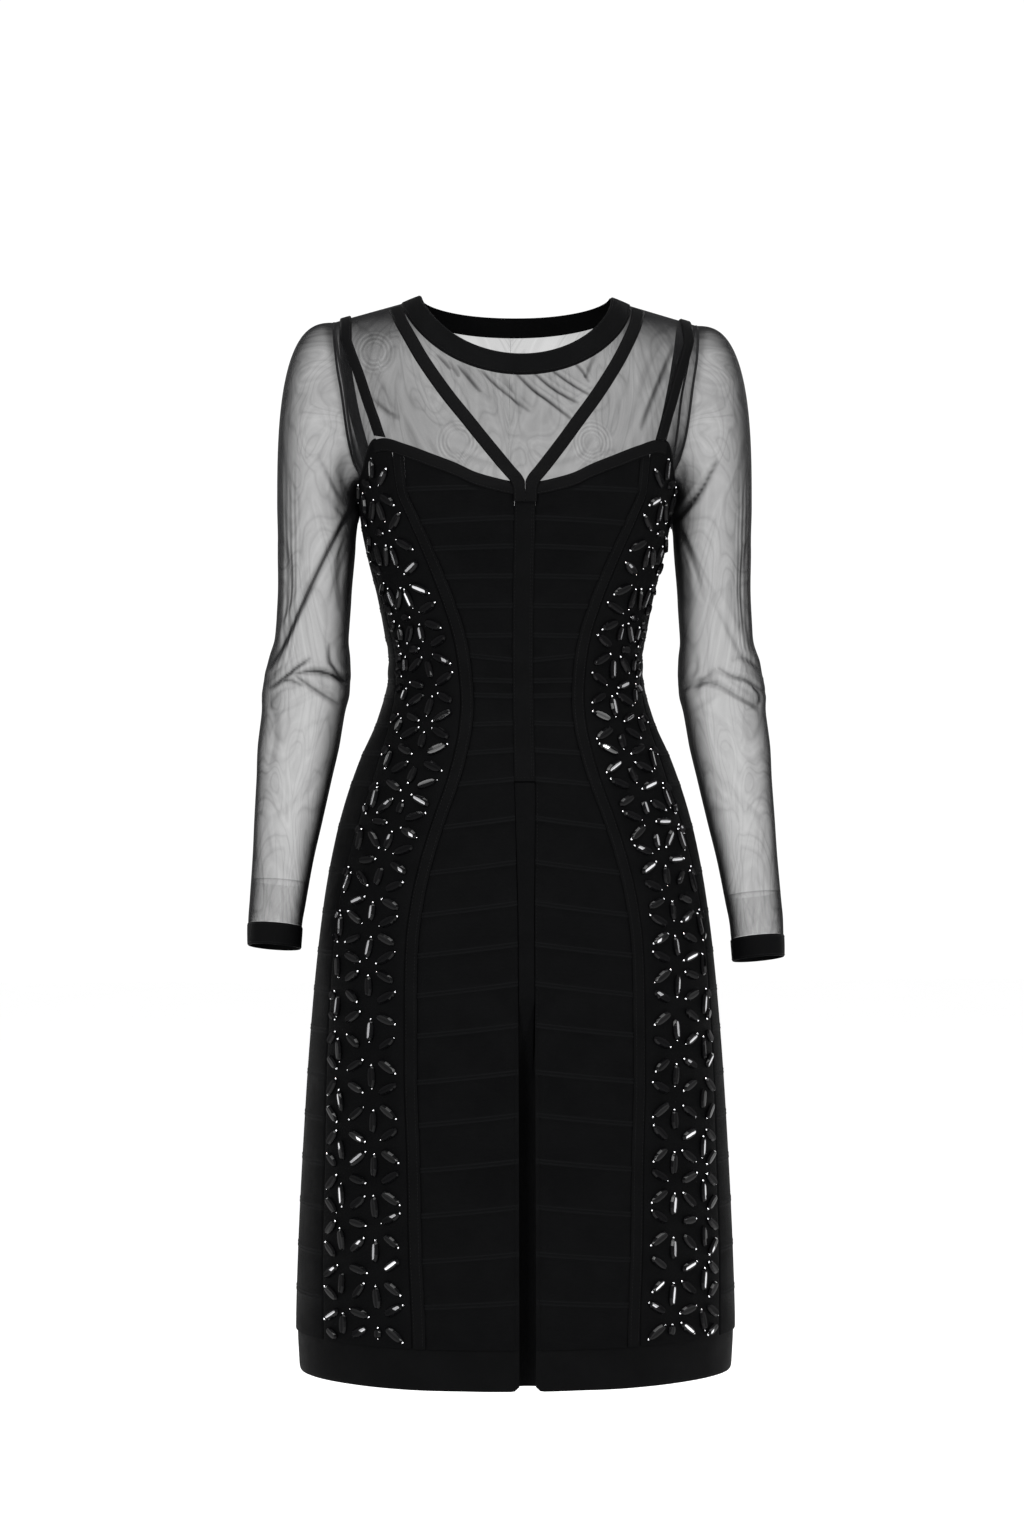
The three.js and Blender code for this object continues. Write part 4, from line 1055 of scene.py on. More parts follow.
def yoke_normal(x, z, back):
    step = 0.6
    low = np.minimum(z, shoulder_z(x) - 1.2)
    across = yoke_point(x + step, low, back) - yoke_point(x - step, low, back)
    down = yoke_point(x, low - step, back) - yoke_point(x, low + step / 2, back)
    return unit(np.cross(across, down) if back else np.cross(down, across))


def lifted_yoke(x, z, back, lift):
    lift = np.asarray(lift, float)
    return yoke_point(x, z, back) + yoke_normal(x, z, back) * lift[..., None]


def neck_edge(turn, back, grow):
    cosine = np.maximum(np.cos(turn), 0) ** NECK["power"]
    x = (NECK["half"] + grow) * np.sin(turn)
    dip = (NECK["back_dip"] if back else NECK["front_dip"]) + grow
    return x, NECK["side_z"] - grow * SHOULDER_SLOPE - dip * cosine


def yoke_place(across, down, back):
    """Distance from the centre and height by share across (1 is the armhole) and share down."""
    turn = math.pi / 2 * np.minimum(across / NECK_SHARE, 1)
    neck_x, neck_z = neck_edge(turn, back, NECK_GAP)
    past = (across - NECK_SHARE) / (1 - NECK_SHARE)
    edge_x = lerp(NECK["half"] + NECK_GAP, ARMHOLE.values["x"][-1], past)
    at_neck = across <= NECK_SHARE
    top_x = np.where(at_neck, neck_x, edge_x)
    top_z = np.where(at_neck, neck_z, shoulder_z(edge_x) - 0.001)
    corner = math.radians(103.4 if back else 75.2)
    angle = lerp(math.pi - 0.001 if back else 0.0, corner, across**0.9)
    foot = form(angle, panel_top(angle) + 0.5)
    depth = down**2
    z = lerp(top_z, foot[..., 2], depth)
    x = lerp(top_x, foot[..., 0], depth)
    low = form(corner, panel_top(corner) + 0.5)
    share = np.clip((ARMHOLE_TOP - z) / (ARMHOLE_TOP - low[2]), 0, 1)
    straight = lerp(ARMHOLE.values["x"][-1], low[0], share)
    pull = np.where(at_neck, 0, np.maximum(past, 0) ** 2)
    return x + pull * (ARMHOLE.read("x", z) - SEAM_GAP / 2 - straight), z


# Creases of the front yoke as lines of (x, z), with half width, depth and the darkness of their painted shade
YOKE_CREASES = [
    ([(-56, -46), (-45, -60), (-36, -72)], 1.6, 1.2, 0.36),
    ([(-36, -50), (-20, -67), (7, -90)], 1.6, 1.4, 0.34),
    ([(-8, -50), (10, -69), (23, -79), (46, -98)], 1.6, 1.6, 0.55),
    ([(8, -50), (28, -68), (50, -81)], 1.6, 1.5, 0.48),
    ([(24, -48), (44, -63), (62, -74)], 1.6, 1.5, 0.42), ([(44, -40), (54, -51), (60, -62)], 1.5, 1.0, 0.4),
    ([(66, -36), (61, -47), (56, -58)], 1.5, 1.0, 0.34),
    ([(-74, -36), (-66, -45), (-62, -51)], 1.5, 1.0, 0.3),
    ([(-64, -42), (-57, -53), (-55, -58)], 1.5, 1.0, 0.26),
    ([(-18, -52), (-8, -70), (-2, -92)], 2.4, 1.0, 0.16),
    ([(140, -24), (124, -60), (105, -104)], 2.2, 2.0, 0.5),
    ([(131, -16), (116, -44), (104, -74)], 3.2, 1.2, 0.14),
    ([(-133, -74), (-120, -86), (-107, -95)], 2.2, 1.6, 0.42),
    ([(-138, -34), (-124, -62), (-108, -92)], 3.2, 1.2, 0.14),
    ([(-70, -120), (-40, -132), (-14, -140)], 3.0, 1.0, 0.08),
    ([(72, -118), (44, -130), (16, -139)], 3.0, 1.0, 0.08),
]
# Watered rings of the net: centre, radius, pitch
YOKE_RINGS = [(-57, -117, 13.5, 3.3), (60, -117, 12.5, 3.2), (-128, -34, 12, 3.6)]
# Creases of the back yoke, the same way, with the darkness of their painted shade
BACK_YOKE_CREASES = [
    ([(18, -24), (16, -52), (12, -84)], 3.2, 1.2, 0.05), ([(46, -20), (42, -50), (34, -82)], 3.4, 1.2, 0.05),
    ([(140, -30), (122, -62), (104, -100)], 3.6, 1.7, 0.1),
    ([(128, -96), (104, -108), (78, -116)], 3.2, 1.2, 0.06),
]


def held_edges(across, down, top):
    """How free the yoke's net is to crease: not at all along its edges."""
    return np.minimum(1, down * top) * np.minimum(1, (1 - down) * 10) * np.minimum(1, (1 - across) * 16)


def front_yoke():
    across = np.linspace(-1, 1, 341)[None, :]
    down = np.linspace(0, 1, 111)[:, None]
    place_x, z = yoke_place(np.abs(across) * np.ones(down.shape), down * np.ones(across.shape), False)
    x = np.sign(across) * place_x
    # the creases' darkness is painted shade, added to the net's thread cover
    relief, dark = creased(x, z, YOKE_CREASES)
    for ring_x, ring_z, radius, pitch in YOKE_RINGS:
        away = np.hypot(x - ring_x, 0.9 * (z - ring_z))
        dark = dark + 0.14 * np.cos(2 * math.pi * away / pitch) * np.exp(-(((away - radius) / 6) ** 4))
    grid = lifted_yoke(x, z, False, NET_LIFT + relief * held_edges(np.abs(across), down, 30))
    edge = 0.35 * np.exp(-(((1 - np.abs(across)) * 60) ** 2)) + 0.2 * np.exp(-((down * 40) ** 2))
    # painted shade: the net darker towards the sides of the yoke
    sides = 0.1 * np.clip((np.abs(x) - 60) / 60, 0, 1)
    cloth = cloth_of(grid, 1.4 * dark + edge + sides + 0.22)
    lay("front_yoke_net", "right", [grid], cloth, NET, ["front_yoke"])


def back_yoke(side):
    across = np.linspace(1, 0.002, 81)[None, :]
    down = np.linspace(0, 1, 51)[:, None]
    x, z = yoke_place(across * np.ones(down.shape), down * np.ones(across.shape), True)
    # the creases' darkness is painted shade
    relief, dark = creased(x, z, BACK_YOKE_CREASES)
    grid = lifted_yoke(x, z, True, NET_LIFT + relief * held_edges(across, down, 14))
    grid[..., 0] = np.maximum(grid[..., 0], SEAM_GAP / 2)
    seams = 0.08 * np.exp(-((x / 1.8) ** 2)) + 0.35 * np.exp(-(((1 - across) * 60) ** 2))
    cloth = cloth_of(grid, dark + seams + 0.22)
    lay(f"back_yoke_net_{side}", side, [grid], cloth, NET, [f"back_yoke_{side}"])


def neck_ring(turn):
    """Lower and upper edge of the neckband at a turn from the front."""
    front = np.cos(turn) >= 0
    folded = np.abs(np.arcsin(np.clip(np.sin(turn), -1, 1)))
    sign = 1.0 if math.sin(turn) >= 0 else -1.0
    low_x, low_z = neck_edge(folded, not front, 0.0)
    base = yoke_point(sign * low_x, low_z, not front)
    cosine = abs(math.cos(turn)) ** NECK["power"]
    dip = NECK_TOP["front_dip"] if front else NECK_TOP["back_dip"]
    high = np.array([
        sign * NECK_TOP["half"] * abs(math.sin(turn)),
        base[1] * NECK_TOP["reach"],
        NECK_TOP["side_z"] - dip * cosine,
    ])
    if folded > math.radians(89):
        base[1] = high[1] = 0
    return base, high


def neck_band():
    """The band round the neck, open by a hair at the centre back."""
    steps = 180
    opening = 0.00001
    glance = 0.01
    shares = np.array([0, 0.04, 0.1, 0.3, 0.5, 0.7, 0.9, 0.96, 1])
    puff = np.array([0.1, 0.75, 1.0, 1.08, 1.12, 1.08, 1.0, 0.75, 0.1])
    outer, inner = [], []
    for turn in np.linspace(-math.pi + opening, math.pi - opening, steps + 1):
        base, high = neck_ring(turn)
        along = neck_ring(turn + glance)[0] - neck_ring(turn - glance)[0]
        normal = -unit(np.cross(high - base, along))
        line = high + (base - high) * shares[:, None]
        outer.append(line + normal * BAND_WALL * puff[:, None])
        inner.append(line)
    outer, inner = (np.swapaxes(np.array(grid), 0, 1) for grid in (outer, inner))
    lay("neckband_knit", "right", [outer, inner], cloth_of(outer), KNIT_BAND, ["neckband"])
    normals = surface_normals(outer)
    sew("neckband_stitches", [grid_line(outer, normals, row=6), grid_line(outer, normals, row=2)], 3.0)


# Straps and bindings

RIBBON_SHARES = np.array([-0.5, -0.46, -0.36, -0.18, 0, 0.18, 0.36, 0.46, 0.5])
RIBBON_PUFF = np.array([0.1, 0.7, 1.0, 1.06, 1.08, 1.06, 1.0, 0.7, 0.1])


def net_place(x, z, back, lift):
    """A place on the net; the strap rises over the binding before it reaches the bodice."""
    x = np.maximum(x, SEAM_GAP / 2)
    height = np.minimum(z, shoulder_z(x) - 0.5)
    above = height - bodice_top(angle_at_x(x, -150))
    over = STRAP_RISE * np.clip((BINDING_WIDTH - above) / 7, 0, 1)
    return lifted_yoke(x, height, back, lift + over)


def strap_shell(name, node, side, outer, inner, rests_on):
    """A strap between two grids, stitched along both edges."""
    lay(name, side, [outer, inner], cloth_of(outer), SATIN, [node])
    normals = surface_normals(outer)
    lines = [grid_line(outer, normals, column=2), grid_line(outer, normals, column=-3)]
    sew(name + "_stitches", lines, side=side)


def halter_strap(side):
    path = smooth_line(HALTER, 90)
    middle = net_place(path[:, 0], path[:, 1], False, np.full(len(path), TRIM_LIFT))
    run = unit(np.gradient(middle, axis=0))
    outward = yoke_normal(path[:, 0], path[:, 1], False)
    across = unit(np.cross(outward, run)) * STRAP_WIDTH
    grids = []
    for lift in (TRIM_LIFT + TRIM_WALL * RIBBON_PUFF, np.full(len(RIBBON_SHARES), TRIM_LIFT)):
        x = path[:, :1] + across[:, :1] * RIBBON_SHARES
        z = path[:, 1:] + across[:, 2:] * RIBBON_SHARES
        grids.append(net_place(x, z, False, lift * np.ones(x.shape)))
    strap_shell(f"halter_{side}", f"halter_strap_{side}", side, *grids, ["neckband_knit"])


def shoulder_strap(side):
    """The strap over the shoulder: it lies on the front, crosses the ridge and lies on the back."""
    front = [(x, z, False) for x, z in smooth_line(SHOULDER_FRONT, 40)]
    over = [(SHOULDER_MIDDLE, depth, False) for depth in SHOULDER_OVER]
    over += [(SHOULDER_MIDDLE, depth, True) for depth in SHOULDER_OVER[::-1]]
    back = [(x, z, True) for x, z in smooth_line(SHOULDER_BACK, 36)]
    grids = []
    for puff in (TRIM_WALL * RIBBON_PUFF, np.zeros(len(RIBBON_SHARES))):
        lift = TRIM_LIFT - 0.2 + puff
        rows = []
        for lies, line in ((True, front), (False, over), (True, back)):
            for x0, z0, is_back in line:
                x = x0 + RIBBON_SHARES * SHOULDER_WIDTH
                z = z0 + RIBBON_SHARES * SHOULDER_WIDTH * (0.22 if is_back else 0.25)
                z = np.minimum(z, shoulder_z(x) - 0.6) if lies else shoulder_z(x) - z0
                rise = SHOULDER_RISE * np.clip((-60 - z0) / 40, 0, 1) if lies and is_back else 0
                rows.append(lifted_yoke(x, z, is_back, lift + rise))
        grids.append(np.array(rows)[::-1])
    strap_shell(f"shoulder_{side}", f"shoulder_strap_{side}", side, *grids, ["front_yoke_net"])


def top_binding(place, first, last, steps, lift, side):
    """The binding of the bodice's upper edge between two angles in degrees."""
    angle = np.radians(np.linspace(first, last, steps + 1))[None, :]
    z = bodice_top(angle) - (RIBBON_SHARES + 0.5)[:, None] * BINDING_WIDTH
    outer = body(angle, z, lift + TRIM_WALL * RIBBON_PUFF[:, None], side)
    inner = body(angle, z, lift, side)
    name = f"{place}_edge_{side}"
    lay(name, side, [outer, inner], cloth_of(outer)[..., [1, 0, 2]], SATIN, [f"{place}_binding_{side}"])
    sew(name + "_stitches", [grid_line(outer, surface_normals(outer), row=6)], side=side)


# Knit panels

def pleat_fold(angle, z, across):
    """The front panel's edge turns in along the pleat."""
    return -3.2 * np.clip((PLEAT_OPENS - z) / 90, 0, 1) * np.exp(-((across / 3.2) ** 2))


def front_panel(side):
    body_panel(f"front_{side}", f"front_panel_{side}", side, "pleat", "front_end", even_shares(26),
               lambda u: u, KNIT, extra=pleat_fold)


def princess_band(side):
    shares = np.array([0, 0.05, 0.14, 0.3, 0.5, 0.7, 0.86, 0.95, 1])

    def flat_over_strips(angle, z, across):
        open_to_view = z < bodice_top(angle) - BINDING_WIDTH - 2
        return np.where(open_to_view, 0.3, -0.2)

    body_panel(f"princess_{side}", f"princess_band_{side}", side, "band_inner", "band_outer", shares,
               lambda u: np.ones(u.shape), KNIT_BAND, strips=False, extra=flat_over_strips)
    z = np.arange(-128.0, SHELL_HEM + 2, -2.0)
    lines = []
    for seam, turn in (("band_inner", 1), ("band_outer", -1)):
        angle = SEAMS[seam](z) + turn * 2.0 / np.linalg.norm(form(SEAMS[seam](z), z)[:, :2], axis=1)
        lines.append(seam_line(angle, z, 0.33, side))
    sew(f"princess_{side}_stitches", lines, side=side)


def beaded_panel(side):
    stones = beads(side)
    body_panel(f"bead_cloth_{side}", f"beaded_panel_{side}", side, "bead_inner", "bead_outer",
               even_shares(22), lambda u: np.ones(u.shape), KNIT, strips=False)


def back_panel(side):
    body_panel(f"back_{side}", f"back_panel_{side}", side, "back_start", "back_end",
               even_shares(44, 0.005), lambda u: np.ones(u.shape), KNIT,
               strip_share=BACK_STRIP_SHARE)


def centre_band():
    heights = np.concatenate([[-159.75], np.arange(-163.0, BAND_END, -3.0), [BAND_END]])[:, None]
    x = np.array([-9, -8.6, -7.8, -5, -2.5, 0, 2.5, 5, 7.8, 8.6, 9])[None, :]
    top = panel_top(angle_at_x(np.abs(x), -160.0))
    z = np.where(np.arange(len(heights))[:, None] == 0, top, np.minimum(heights, top - 1))
    angle = angle_at_x(x, z)
    lift = PANEL_WALL + 0.25 - 0.6 * np.exp(-(((FRONT_BAND_HALF - np.abs(x)) / 0.7) ** 2))
    lift = lift - 0.3 * np.clip((BAND_END + 6 - z) / 6, 0, 1)
    grids = [form(angle, z, lift), form(angle, z, INNER_LIFT)]
    lay("centre_band", "right", grids, cloth_of(grids[0]), KNIT_BAND, ["centre_front_band"])
    line_z = np.arange(-172.0, BAND_END + 1, -2.0)
    lines = [seam_line(angle_at_x(place, line_z), line_z, 0.3) for place in (-7.4, 5.9, 7.4)]
    bar_z = BAND_END + 3
    lines.append(seam_line(angle_at_x(np.linspace(-8, 8, 9), bar_z), bar_z, 0.3))
    sew("centre_band_stitches", lines)


def underlay():
    """The pleat's inlay: its middle lies level with the panels until the pleat opens."""
    near_band = [UNDERLAY_TOP, -402, -410, -413.2, -414.4]
    z = np.concatenate([near_band, np.arange(-417.0, UNDERLAY_BOTTOM, -4.5), [UNDERLAY_BOTTOM]])[:, None]
    edge = lerp(FRONT_BAND_HALF + SEAM_GAP / 2, PLEAT_HEM_HALF, pleat_share(z)) - 0.5
    middle = np.linspace(-1, 1, 11)
    beyond = np.array([0.03, 0.12, 0.3, 0.5, 0.75, 1])
    right = edge + (UNDERLAY_HALF - edge) * beyond
    x = np.concatenate([-right[:, ::-1], edge * middle, right], 1)
    share = x / UNDERLAY_HALF
    opened = np.clip((UNDERLAY_TOP - z) / 300, 0, 1)
    sunk = lerp(0.5, 2.6, np.clip((UNDERLAY_TOP - z) / 200, 0, 1))
    low = -sunk - PLEAT_DEPTH * opened * np.maximum(0, 1 - (share * 1.1) ** 2)
    level = np.clip((BAND_END - 0.4 - z) / 1.0, 0, 1) * np.clip((z - PLEAT_OPENS) / 80 + 1, 0, 1) ** 2
    level = level * (np.abs(x) <= edge + 0.01)
    roll = 0.5 * np.exp(-(((edge - np.abs(x)) / 1.2) ** 2))
    lift = lerp(low, PANEL_WALL - 0.05 - roll, level)
    angle = angle_at_x(x, z)
    grids = [form(angle, z, lift), form(angle, z, lift - 1.1)]
    lay("pleat_inlay", "right", grids, cloth_of(grids[0]), KNIT, ["pleat_underlay"])
    line_z = np.arange(BAND_END - 2, PLEAT_OPENS - 20, -2.0)
    line_x = lerp(FRONT_BAND_HALF + SEAM_GAP / 2, PLEAT_HEM_HALF, pleat_share(line_z)) + 1.6
    sew("pleat_stitches", [seam_line(angle_at_x(line_x, line_z), line_z, 0.1)])


def hem_band():
    """The under layer that shows below the panels, rounded at its two front corners."""
    low = HEM_BOTTOM
    heights = [SHELL_HEM + HEM_LAP, -896, SHELL_HEM, -905, -912, -920, -927, low + 5, low + 2, low + 0.6, low]
    heights = np.array(heights)[:, None]
    first = SEAMS["pleat"](SHELL_HEM)
    turns = np.linspace(0, 1, 241)[None, :]
    angle = lerp(first, 2 * math.pi - first, turns)
    edge = np.minimum(turns, 1 - turns) * HEM_LENGTH
    corner = np.clip(1 - edge / CORNER, 0, 1) ** 2 * CORNER * 0.6
    height = np.maximum(heights + 0 * angle, low + corner)
    roll = np.array([0, 0, 0, 0, 0, 0, 0, 0, 0.15, 0.5, 0.9])[:, None]
    folds = body_relief(angle, height)
    grids = [form(angle, height, -SEAM_GAP - roll + folds), form(angle, height, -SEAM_GAP - 1.2 + folds)]
    lay("hem_layer", "right", grids, cloth_of(grids[0]), KNIT_BAND, ["hem_band"])


# Sleeves: rings swing from the armhole to level, then follow the arm

def armhole_point(turn, lift):
    share = (1 - np.cos(turn)) / 2
    z = lerp(ARMHOLE_TOP, ARMHOLE_LOW, share)
    x = ARMHOLE.read("x", z)
    height = np.minimum(z, shoulder_z(x))
    point = np.where((turn > math.pi)[:, None], yoke_point(x, height, True), yoke_point(x, height, False))
    point[(share < 0.0001) | (share > 0.9999), 1] = 0
    middle = (ARMHOLE_TOP + ARMHOLE_LOW) / 2
    outward = unit(np.stack([0 * x, point[:, 1], point[:, 2] - middle], -1))
    point = point + outward * lift
    point[:, 0] += SEAM_GAP / 2
    return point


def sleeve_point(z, turn, inset):
    wide = SLEEVE.read("wide", z) - inset
    deep = SLEEVE.read("deep", z) - inset
    x = SLEEVE.read("x", z) + wide * np.cos(turn)
    y = SLEEVE.read("y", z) - deep * np.sin(turn)
    tilt = np.clip((TILT_START - z) / 120, 0, 1)
    height = z + tilt * (ARM_TILT * wide * np.cos(turn) + ARM_LEAN * deep * np.sin(turn))
    return np.stack(np.broadcast_arrays(x, y, height), -1)


# Creases of the sleeves: (share across, height), where 1 is the outer side seen from the front, then half
# width, depth and the darkness of their painted shade
SLEEVE_CREASES = {
    "left": [
        ([(0.0, -124), (-0.4, -146), (-0.72, -168)], 2.6, 1.8, 0.25),
        ([(-1.0, -163), (-0.22, -215), (0.43, -261), (0.95, -315)], 3.0, 3.0, 0.85),
        ([(-0.03, -303), (0.39, -314), (0.9, -331)], 2.6, 2.4, 0.6),
        ([(0.37, -318), (-0.12, -315), (-0.56, -318), (-0.9, -324)], 2.8, 2.8, 0.7),
        ([(-0.47, -291), (-0.54, -306), (-0.73, -317), (-0.96, -326)], 2.4, 1.8, 0.45),
        ([(0.33, -319), (-0.15, -330), (-0.84, -345)], 2.6, 2.2, 0.5),
        ([(0.6, -323), (0.36, -324), (0.12, -328)], 2.2, 1.6, 0.4),
        ([(0.85, -196), (0.7, -232), (0.78, -268)], 3.6, 1.4, 0.1),
        ([(-0.8, -182), (-0.62, -214), (-0.7, -262)], 3.6, 1.6, 0.1),
        ([(0.75, -345), (0.62, -372), (0.7, -404)], 3.8, 1.4, 0.1),
        ([(-0.6, -418), (0.1, -436), (0.7, -446)], 3.6, 1.3, 0.06),
        ([(0.7, -470), (0.0, -484), (-0.6, -500)], 3.2, 1.1, 0.05),
    ],
    "right": [
        ([(0.0, -125), (-0.21, -138), (-0.73, -167), (-1.0, -180)], 2.6, 2.4, 0.5),
        ([(-0.8, -121), (-1.0, -147)], 2.4, 1.8, 0.4),
        ([(-0.9, -190), (-0.62, -222), (-0.4, -252)], 3.0, 1.6, 0.12),
        ([(-0.8, -330), (-0.58, -325), (-0.22, -327), (0.22, -336),
          (0.58, -343), (0.8, -348)], 2.8, 2.6, 0.34),
        ([(-0.18, -311), (0.07, -317), (0.29, -320), (0.58, -323), (1.0, -335)], 2.4, 2.2, 0.42),
        ([(-0.22, -312), (-0.5, -320), (-0.76, -328)], 3.0, 2.0, 0.24),
        ([(0.22, -306), (0.5, -302), (0.8, -307), (1.0, -320)], 3.0, 1.6, 0.18),
        ([(0.65, -328), (0.83, -336), (0.76, -346)], 2.2, 1.3, 0.2),
        ([(-0.7, -352), (-0.2, -360), (0.2, -372)], 3.0, 1.2, 0.06),
        ([(0.8, -200), (0.66, -240), (0.74, -280)], 3.6, 1.4, 0.1),
        ([(-0.5, -420), (0.1, -432), (0.6, -448)], 3.6, 1.3, 0.06),
        ([(0.6, -474), (0.0, -490), (-0.6, -502)], 3.2, 1.1, 0.05),
    ],
}
ELBOW_BULGE = [(-318, 16, 2.4), (-300, 10, 1.2), (-337, 10, 1.4)]


def sleeve_rings(end, inset, turns):
    rings = []
    for swing in np.linspace(0, 1, 37)[:-1]:
        outward = math.sin(swing * math.pi / 2) ** (2 / SHOULDER_ROUND)
        downward = 1 - math.cos(swing * math.pi / 2) ** (2 / SHOULDER_ROUND)
        a = armhole_point(turns, 1.0 - inset)
        b = sleeve_point(SLEEVE_TOP, turns, inset)
        share = np.array([outward, swing, downward])
        rings.append(a + (b - a) * share)
    for z in np.arange(SLEEVE_TOP, end + 1.0, -1.6):
        rings.append(sleeve_point(z, turns, inset))
    rings.append(sleeve_point(end, turns, inset))
    return np.array(rings)


def sleeve(side):
    turns = np.linspace(2 * math.pi, 0, 181)[:-1]
    grid = sleeve_rings(SLEEVE_END[side], NET_LIFT, turns)
    z = grid[..., 2]
    across = np.cos(turns)[None, :] * np.ones(z.shape)
    reach = SLEEVE.read("wide", z)
    # painted crease shade, strongest on the front, with the far side's creases faint through the net
    front, front_crease_shade = creased(across * reach, z, creases_in_mm(side))
    behind, behind_crease_shade = creased(across * reach, z + 6, creases_in_mm("right" if side == "left" else "left"))
    is_front = front_share(turns)
    relief = front * is_front + 0.6 * behind * (1 - is_front)
    dark = 1.8 * front_crease_shade * is_front + 0.15 * behind_crease_shade * (1 - is_front)
    for height, half, rise in ELBOW_BULGE:
        relief = relief + rise * np.exp(-(((z - height) / half) ** 2)) * np.abs(across) ** 3
    rows = np.arange(len(grid))[:, None]
    hold = np.minimum(1, rows / 10) * np.minimum(1, (len(grid) - 1 - rows) / 6)
    normals = surface_normals(grid, ring=True)
    grid = grid + normals * (relief * hold)[..., None]
    inner_side = np.clip(-across, 0, 1)
    grid[..., 0] -= 5.0 * np.exp(-(((z + 171) / 15) ** 2)) * inner_side**2 * hold
    # painted shadow under the arm, and painted shade on the sleeve's inner side next to the body
    underarm = 0.9 * np.exp(-(((z + 160) / 20) ** 2)) * inner_side**3
    upper = 0.12 * np.clip((z + 420) / 200, 0, 1)
    shade = 0.24 + 0.5 * np.exp(-(((z + 195) / 55) ** 2))
    dark = dark + underarm + upper + shade * inner_side**2 + 0.35 * inner_side**5
    from_edge = (1 - across) * reach
    watered = np.cos(2 * math.pi * from_edge / 4.0) * np.exp(-(((from_edge - 11) / 8) ** 4))
    dark = dark + 0.34 * is_front * watered * np.exp(-(((z + 225) / 85) ** 4))
    edge = 0.5 * np.exp(-((rows / 1.6) ** 2))
    cloth = cloth_ring(grid, dark + edge)
    lay(f"sleeve_net_{side}", side, [grid], cloth, NET, [f"sleeve_{side}"],
        ring=True)
    sleeve_hem(side, turns)
    armhole_seam(side, grid[0])


def creases_in_mm(side):
    """The sleeve's creases with shares across as millimetres from its middle line."""
    found = []
    for line, *rest in SLEEVE_CREASES[side]:
        found.append(([(share * float(SLEEVE.read("wide", z)), z) for share, z in line], *rest))
    return found


def front_share(turns):
    """1 on the front of a sleeve, 0 behind."""
    return 1 / (1 + np.exp(-8 * np.sin(turns)))[None, :]


def cloth_ring(grid, third):
    """Lengths round and down a tube, with the jump of the round length at its first column."""
    wrapped = np.concatenate([grid, grid[:, :1]], 1)
    lengths = cloth_of(wrapped, np.concatenate([third, third[:, :1]], 1))
    return lengths[:, :-1]


def sleeve_hem(side, turns):
    """The turned-up second layer of net above the cuff."""
    end = SLEEVE_END[side]
    grid = np.array([sleeve_point(z, turns, NET_LIFT + 0.9) for z in np.linspace(end + 38, end, 24)])
    rows = np.arange(len(grid))[:, None] * np.ones(len(turns))
    cloth = cloth_ring(grid, 0.6 * front_share(turns) * np.exp(-((rows * 1.2) ** 2)) - 0.42)
    lay(f"sleeve_hem_{side}", side, [grid], cloth, NET, [], ring=True)


def cord(name, line, outward, thick, wide, side, closed=False, material=THREAD):
    """A seam along a line of points: an oval cord, lying flat."""
    line = np.concatenate([line, line[:1]]) if closed else line
    outward = unit(np.concatenate([outward, outward[:1]]) if closed else outward)
    other = unit(np.cross(unit(np.gradient(line, axis=0)), outward))
    turns = np.linspace(0, 2 * math.pi, 9)[:-1]
    rings = [line + outward * math.cos(t) * thick + other * math.sin(t) * wide for t in turns]
    grid = np.stack(rings, 1)
    index = np.arange(len(line) * 8).reshape(-1, 8)
    if closed:
        index[-1] = index[0]
    index = np.concatenate([index, index[:, :1]], 1)
    points = grid.reshape(-1, 3) * [1 if side == "right" else -1, 1, 1]
    faces = grid_faces(index)
    if side == "left":
        faces = faces[:, ::-1]
    if closed:
        points = points[:-8]
    piece = new_object(name, points, faces, material)
    return place_hard(piece)


def armhole_seam(side, ring):
    """The overlocked seam between the yoke and the sleeve."""
    middle = np.array([0, 0, (ARMHOLE_TOP + ARMHOLE_LOW) / 2])
    outward = unit((ring - middle) * [0, 1, 1])
    cord(f"armhole_seam_{side}", ring - outward * 0.2, outward, 0.75, 1.1, side, closed=True)


def yoke_seams(side):
    """The shoulder seam and the bound underarm edge."""
    x = np.linspace(NECK["half"], ARMHOLE.values["x"][-1], 30)
    line = np.stack([x, 0 * x, shoulder_z(x) + 0.2], -1)
    cord(f"shoulder_seam_{side}", line, np.tile([0.28, 0, 1.0], (30, 1)), 0.4, 0.9, side)
    angle = np.radians(np.linspace(63, 107, 60))
    z = bodice_top(angle) + 0.3
    edge = form(angle, z, 0.8)
    cord(f"underarm_edge_{side}", edge, form(angle, z, 2.0) - edge, 1.3, 1.5, side, material=SATIN)


def centre_back_seam():
    """The seams of the yoke and of the knit at the centre back."""
    z = np.linspace(NECK["side_z"] - NECK["back_dip"] + 1, float(bodice_top(math.pi)), 40)
    line = lifted_yoke(0.01, z, True, NET_LIFT + 0 * z) * [0, 1, 1]
    cord("centre_back_seam", line, yoke_normal(0.01, z, True), 0.12, 0.22, "right")
    z = np.arange(float(bodice_top(math.pi)) - 1, SHELL_HEM, -4.0)
    line = form(math.pi + 0 * z, z, PANEL_WALL - 0.7)
    outward = form(math.pi + 0 * z, z, PANEL_WALL + 1) - line
    cord("skirt_back_seam", line, outward, 0.3, 0.6, "right", material=KNIT)


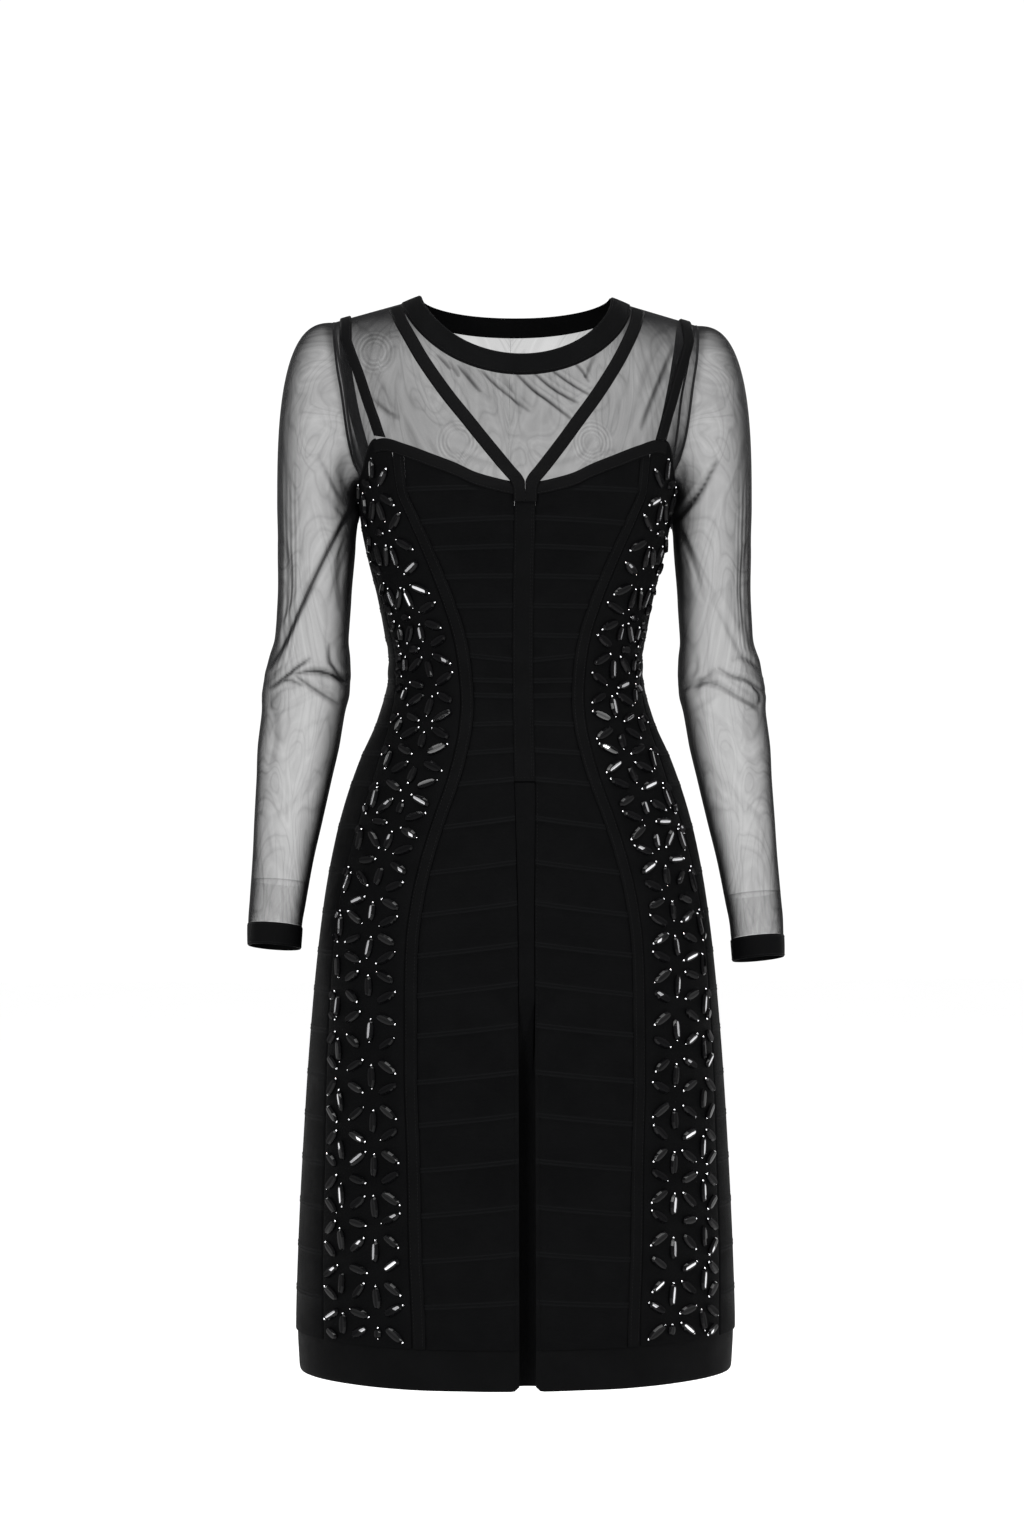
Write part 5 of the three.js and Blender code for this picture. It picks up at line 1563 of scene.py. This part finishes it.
def cuff(side):
    turns = np.linspace(2 * math.pi, 0, 97)[:-1]
    top = SLEEVE_END[side] - SEAM_GAP
    shares = [0, 0.03, 0.09, 0.2, 0.45, 0.7, 0.91, 0.97, 1]
    puff = [0.9, 0.35, 0.1, 0.0, -0.05, 0.0, 0.1, 0.35, 0.9]
    levels = [top - share * CUFF_HEIGHT for share in shares]
    outer = np.array([sleeve_point(z, turns, inset - 0.4) for z, inset in zip(levels, puff)])
    inner = np.array([sleeve_point(z, turns, BAND_WALL - 0.5) for z in levels])
    cloth = cloth_ring(outer, np.zeros(outer.shape[:2]))
    lay(f"cuff_knit_{side}", side, [outer, inner], cloth, KNIT_BAND, [f"cuff_{side}"],
        ring=True)
    normals = surface_normals(outer, ring=True)
    lines = [grid_line(outer, normals, row=2), grid_line(outer, normals, row=6)]
    sew(f"cuff_{side}_stitches", lines, 3.0, side)


# Studio

def studio():
    floor_shader = Shader("floor")
    place = floor_shader.node("TexCoord").outputs["Object"]
    mottle = floor_shader.noise(place, 3.0, 4.0, 0.5)
    tone = floor_shader.blend(mottle, (0.86, 0.86, 0.86, 1), (0.9, 0.9, 0.9, 1))
    material = floor_shader.surface(floor_shader.principled(
        Base_Color=tone, Roughness=0.8, Specular_IOR_Level=0.1,
        Emission_Color=(1, 1, 1, 1), Emission_Strength=0.55,
    ))
    mesh = bpy.data.meshes.new("floor")
    size, height = 14.0, -1.43
    corners = [(-size, -size, height), (size, -size, height), (size, size, height), (-size, size, height)]
    mesh.from_pydata(corners, [], [(0, 1, 2, 3)])
    mesh.materials.append(material)
    floor = bpy.data.objects.new("floor", mesh)
    bpy.context.scene.collection.objects.link(floor)
    world = bpy.data.worlds.new("studio")
    bpy.context.scene.world = world
    world.use_nodes = True
    tree = world.node_tree
    tree.nodes.clear()
    rays = tree.nodes.new("ShaderNodeLightPath")
    strength = tree.nodes.new("ShaderNodeMapRange")
    strength.inputs["To Min"].default_value = 0.5
    strength.inputs["To Max"].default_value = 1.05
    background = tree.nodes.new("ShaderNodeBackground")
    background.inputs["Color"].default_value = (1, 1, 1, 1)
    output = tree.nodes.new("ShaderNodeOutputWorld")
    tree.links.new(rays.outputs["Is Camera Ray"], strength.inputs["Value"])
    tree.links.new(strength.outputs[0], background.inputs["Strength"])
    tree.links.new(background.outputs[0], output.inputs["Surface"])


def soft_light(name, place, aim, width, height, power):
    data = bpy.data.lights.new(name, "AREA")
    data.shape = "RECTANGLE"
    data.size = width
    data.size_y = height
    data.energy = power
    light = bpy.data.objects.new("light_" + name, data)
    light.location = place
    light.rotation_euler = (Vector(aim) - Vector(place)).to_track_quat("-Z", "Y").to_euler()
    bpy.context.scene.collection.objects.link(light)


def lights():
    middle = (0, 0, -0.45)
    soft_light("key", (-1.7, -2.6, 1.0), middle, 0.9, 1.6, 90)
    soft_light("fill", (2.2, -2.2, 0.3), middle, 0.7, 1.6, 55)
    soft_light("top", (0.2, -0.7, 2.2), middle, 1.6, 1.0, 45)
    soft_light("back_left", (-2.0, 2.4, 0.8), middle, 0.9, 1.6, 30)
    soft_light("back_right", (2.0, 2.4, 0.8), middle, 0.9, 1.6, 30)


def camera():
    data = bpy.data.cameras.new("camera")
    data.lens = CAMERA_LENS
    data.sensor_width = 36
    data.shift_x = -PHOTO_SHIFT / PHOTO_HEIGHT
    eye = bpy.data.objects.new("camera", data)
    eye.location = (-CAMERA_DISTANCE * math.sin(CAMERA_TURN), -CAMERA_DISTANCE * math.cos(CAMERA_TURN),
                    CAMERA_HEIGHT)
    eye.rotation_euler = (math.pi / 2, 0, -CAMERA_TURN)
    bpy.context.scene.collection.objects.link(eye)
    bpy.context.scene.camera = eye
    bpy.context.scene.view_settings.view_transform = "Standard"


camera()
studio()
lights()
front_yoke()
neck_band()
centre_band()
underlay()
hem_band()
centre_back_seam()
for side in SIDES:
    back_yoke(side)
    front_panel(side)
    princess_band(side)
    beaded_panel(side)
    back_panel(side)
    halter_strap(side)
    shoulder_strap(side)
    top_binding("front", 0.12, 63, 90, TRIM_LIFT, side)
    top_binding("back", 107, 179.8, 70, TRIM_LIFT + 0.3, side)
    sleeve(side)
    yoke_seams(side)
    cuff(side)
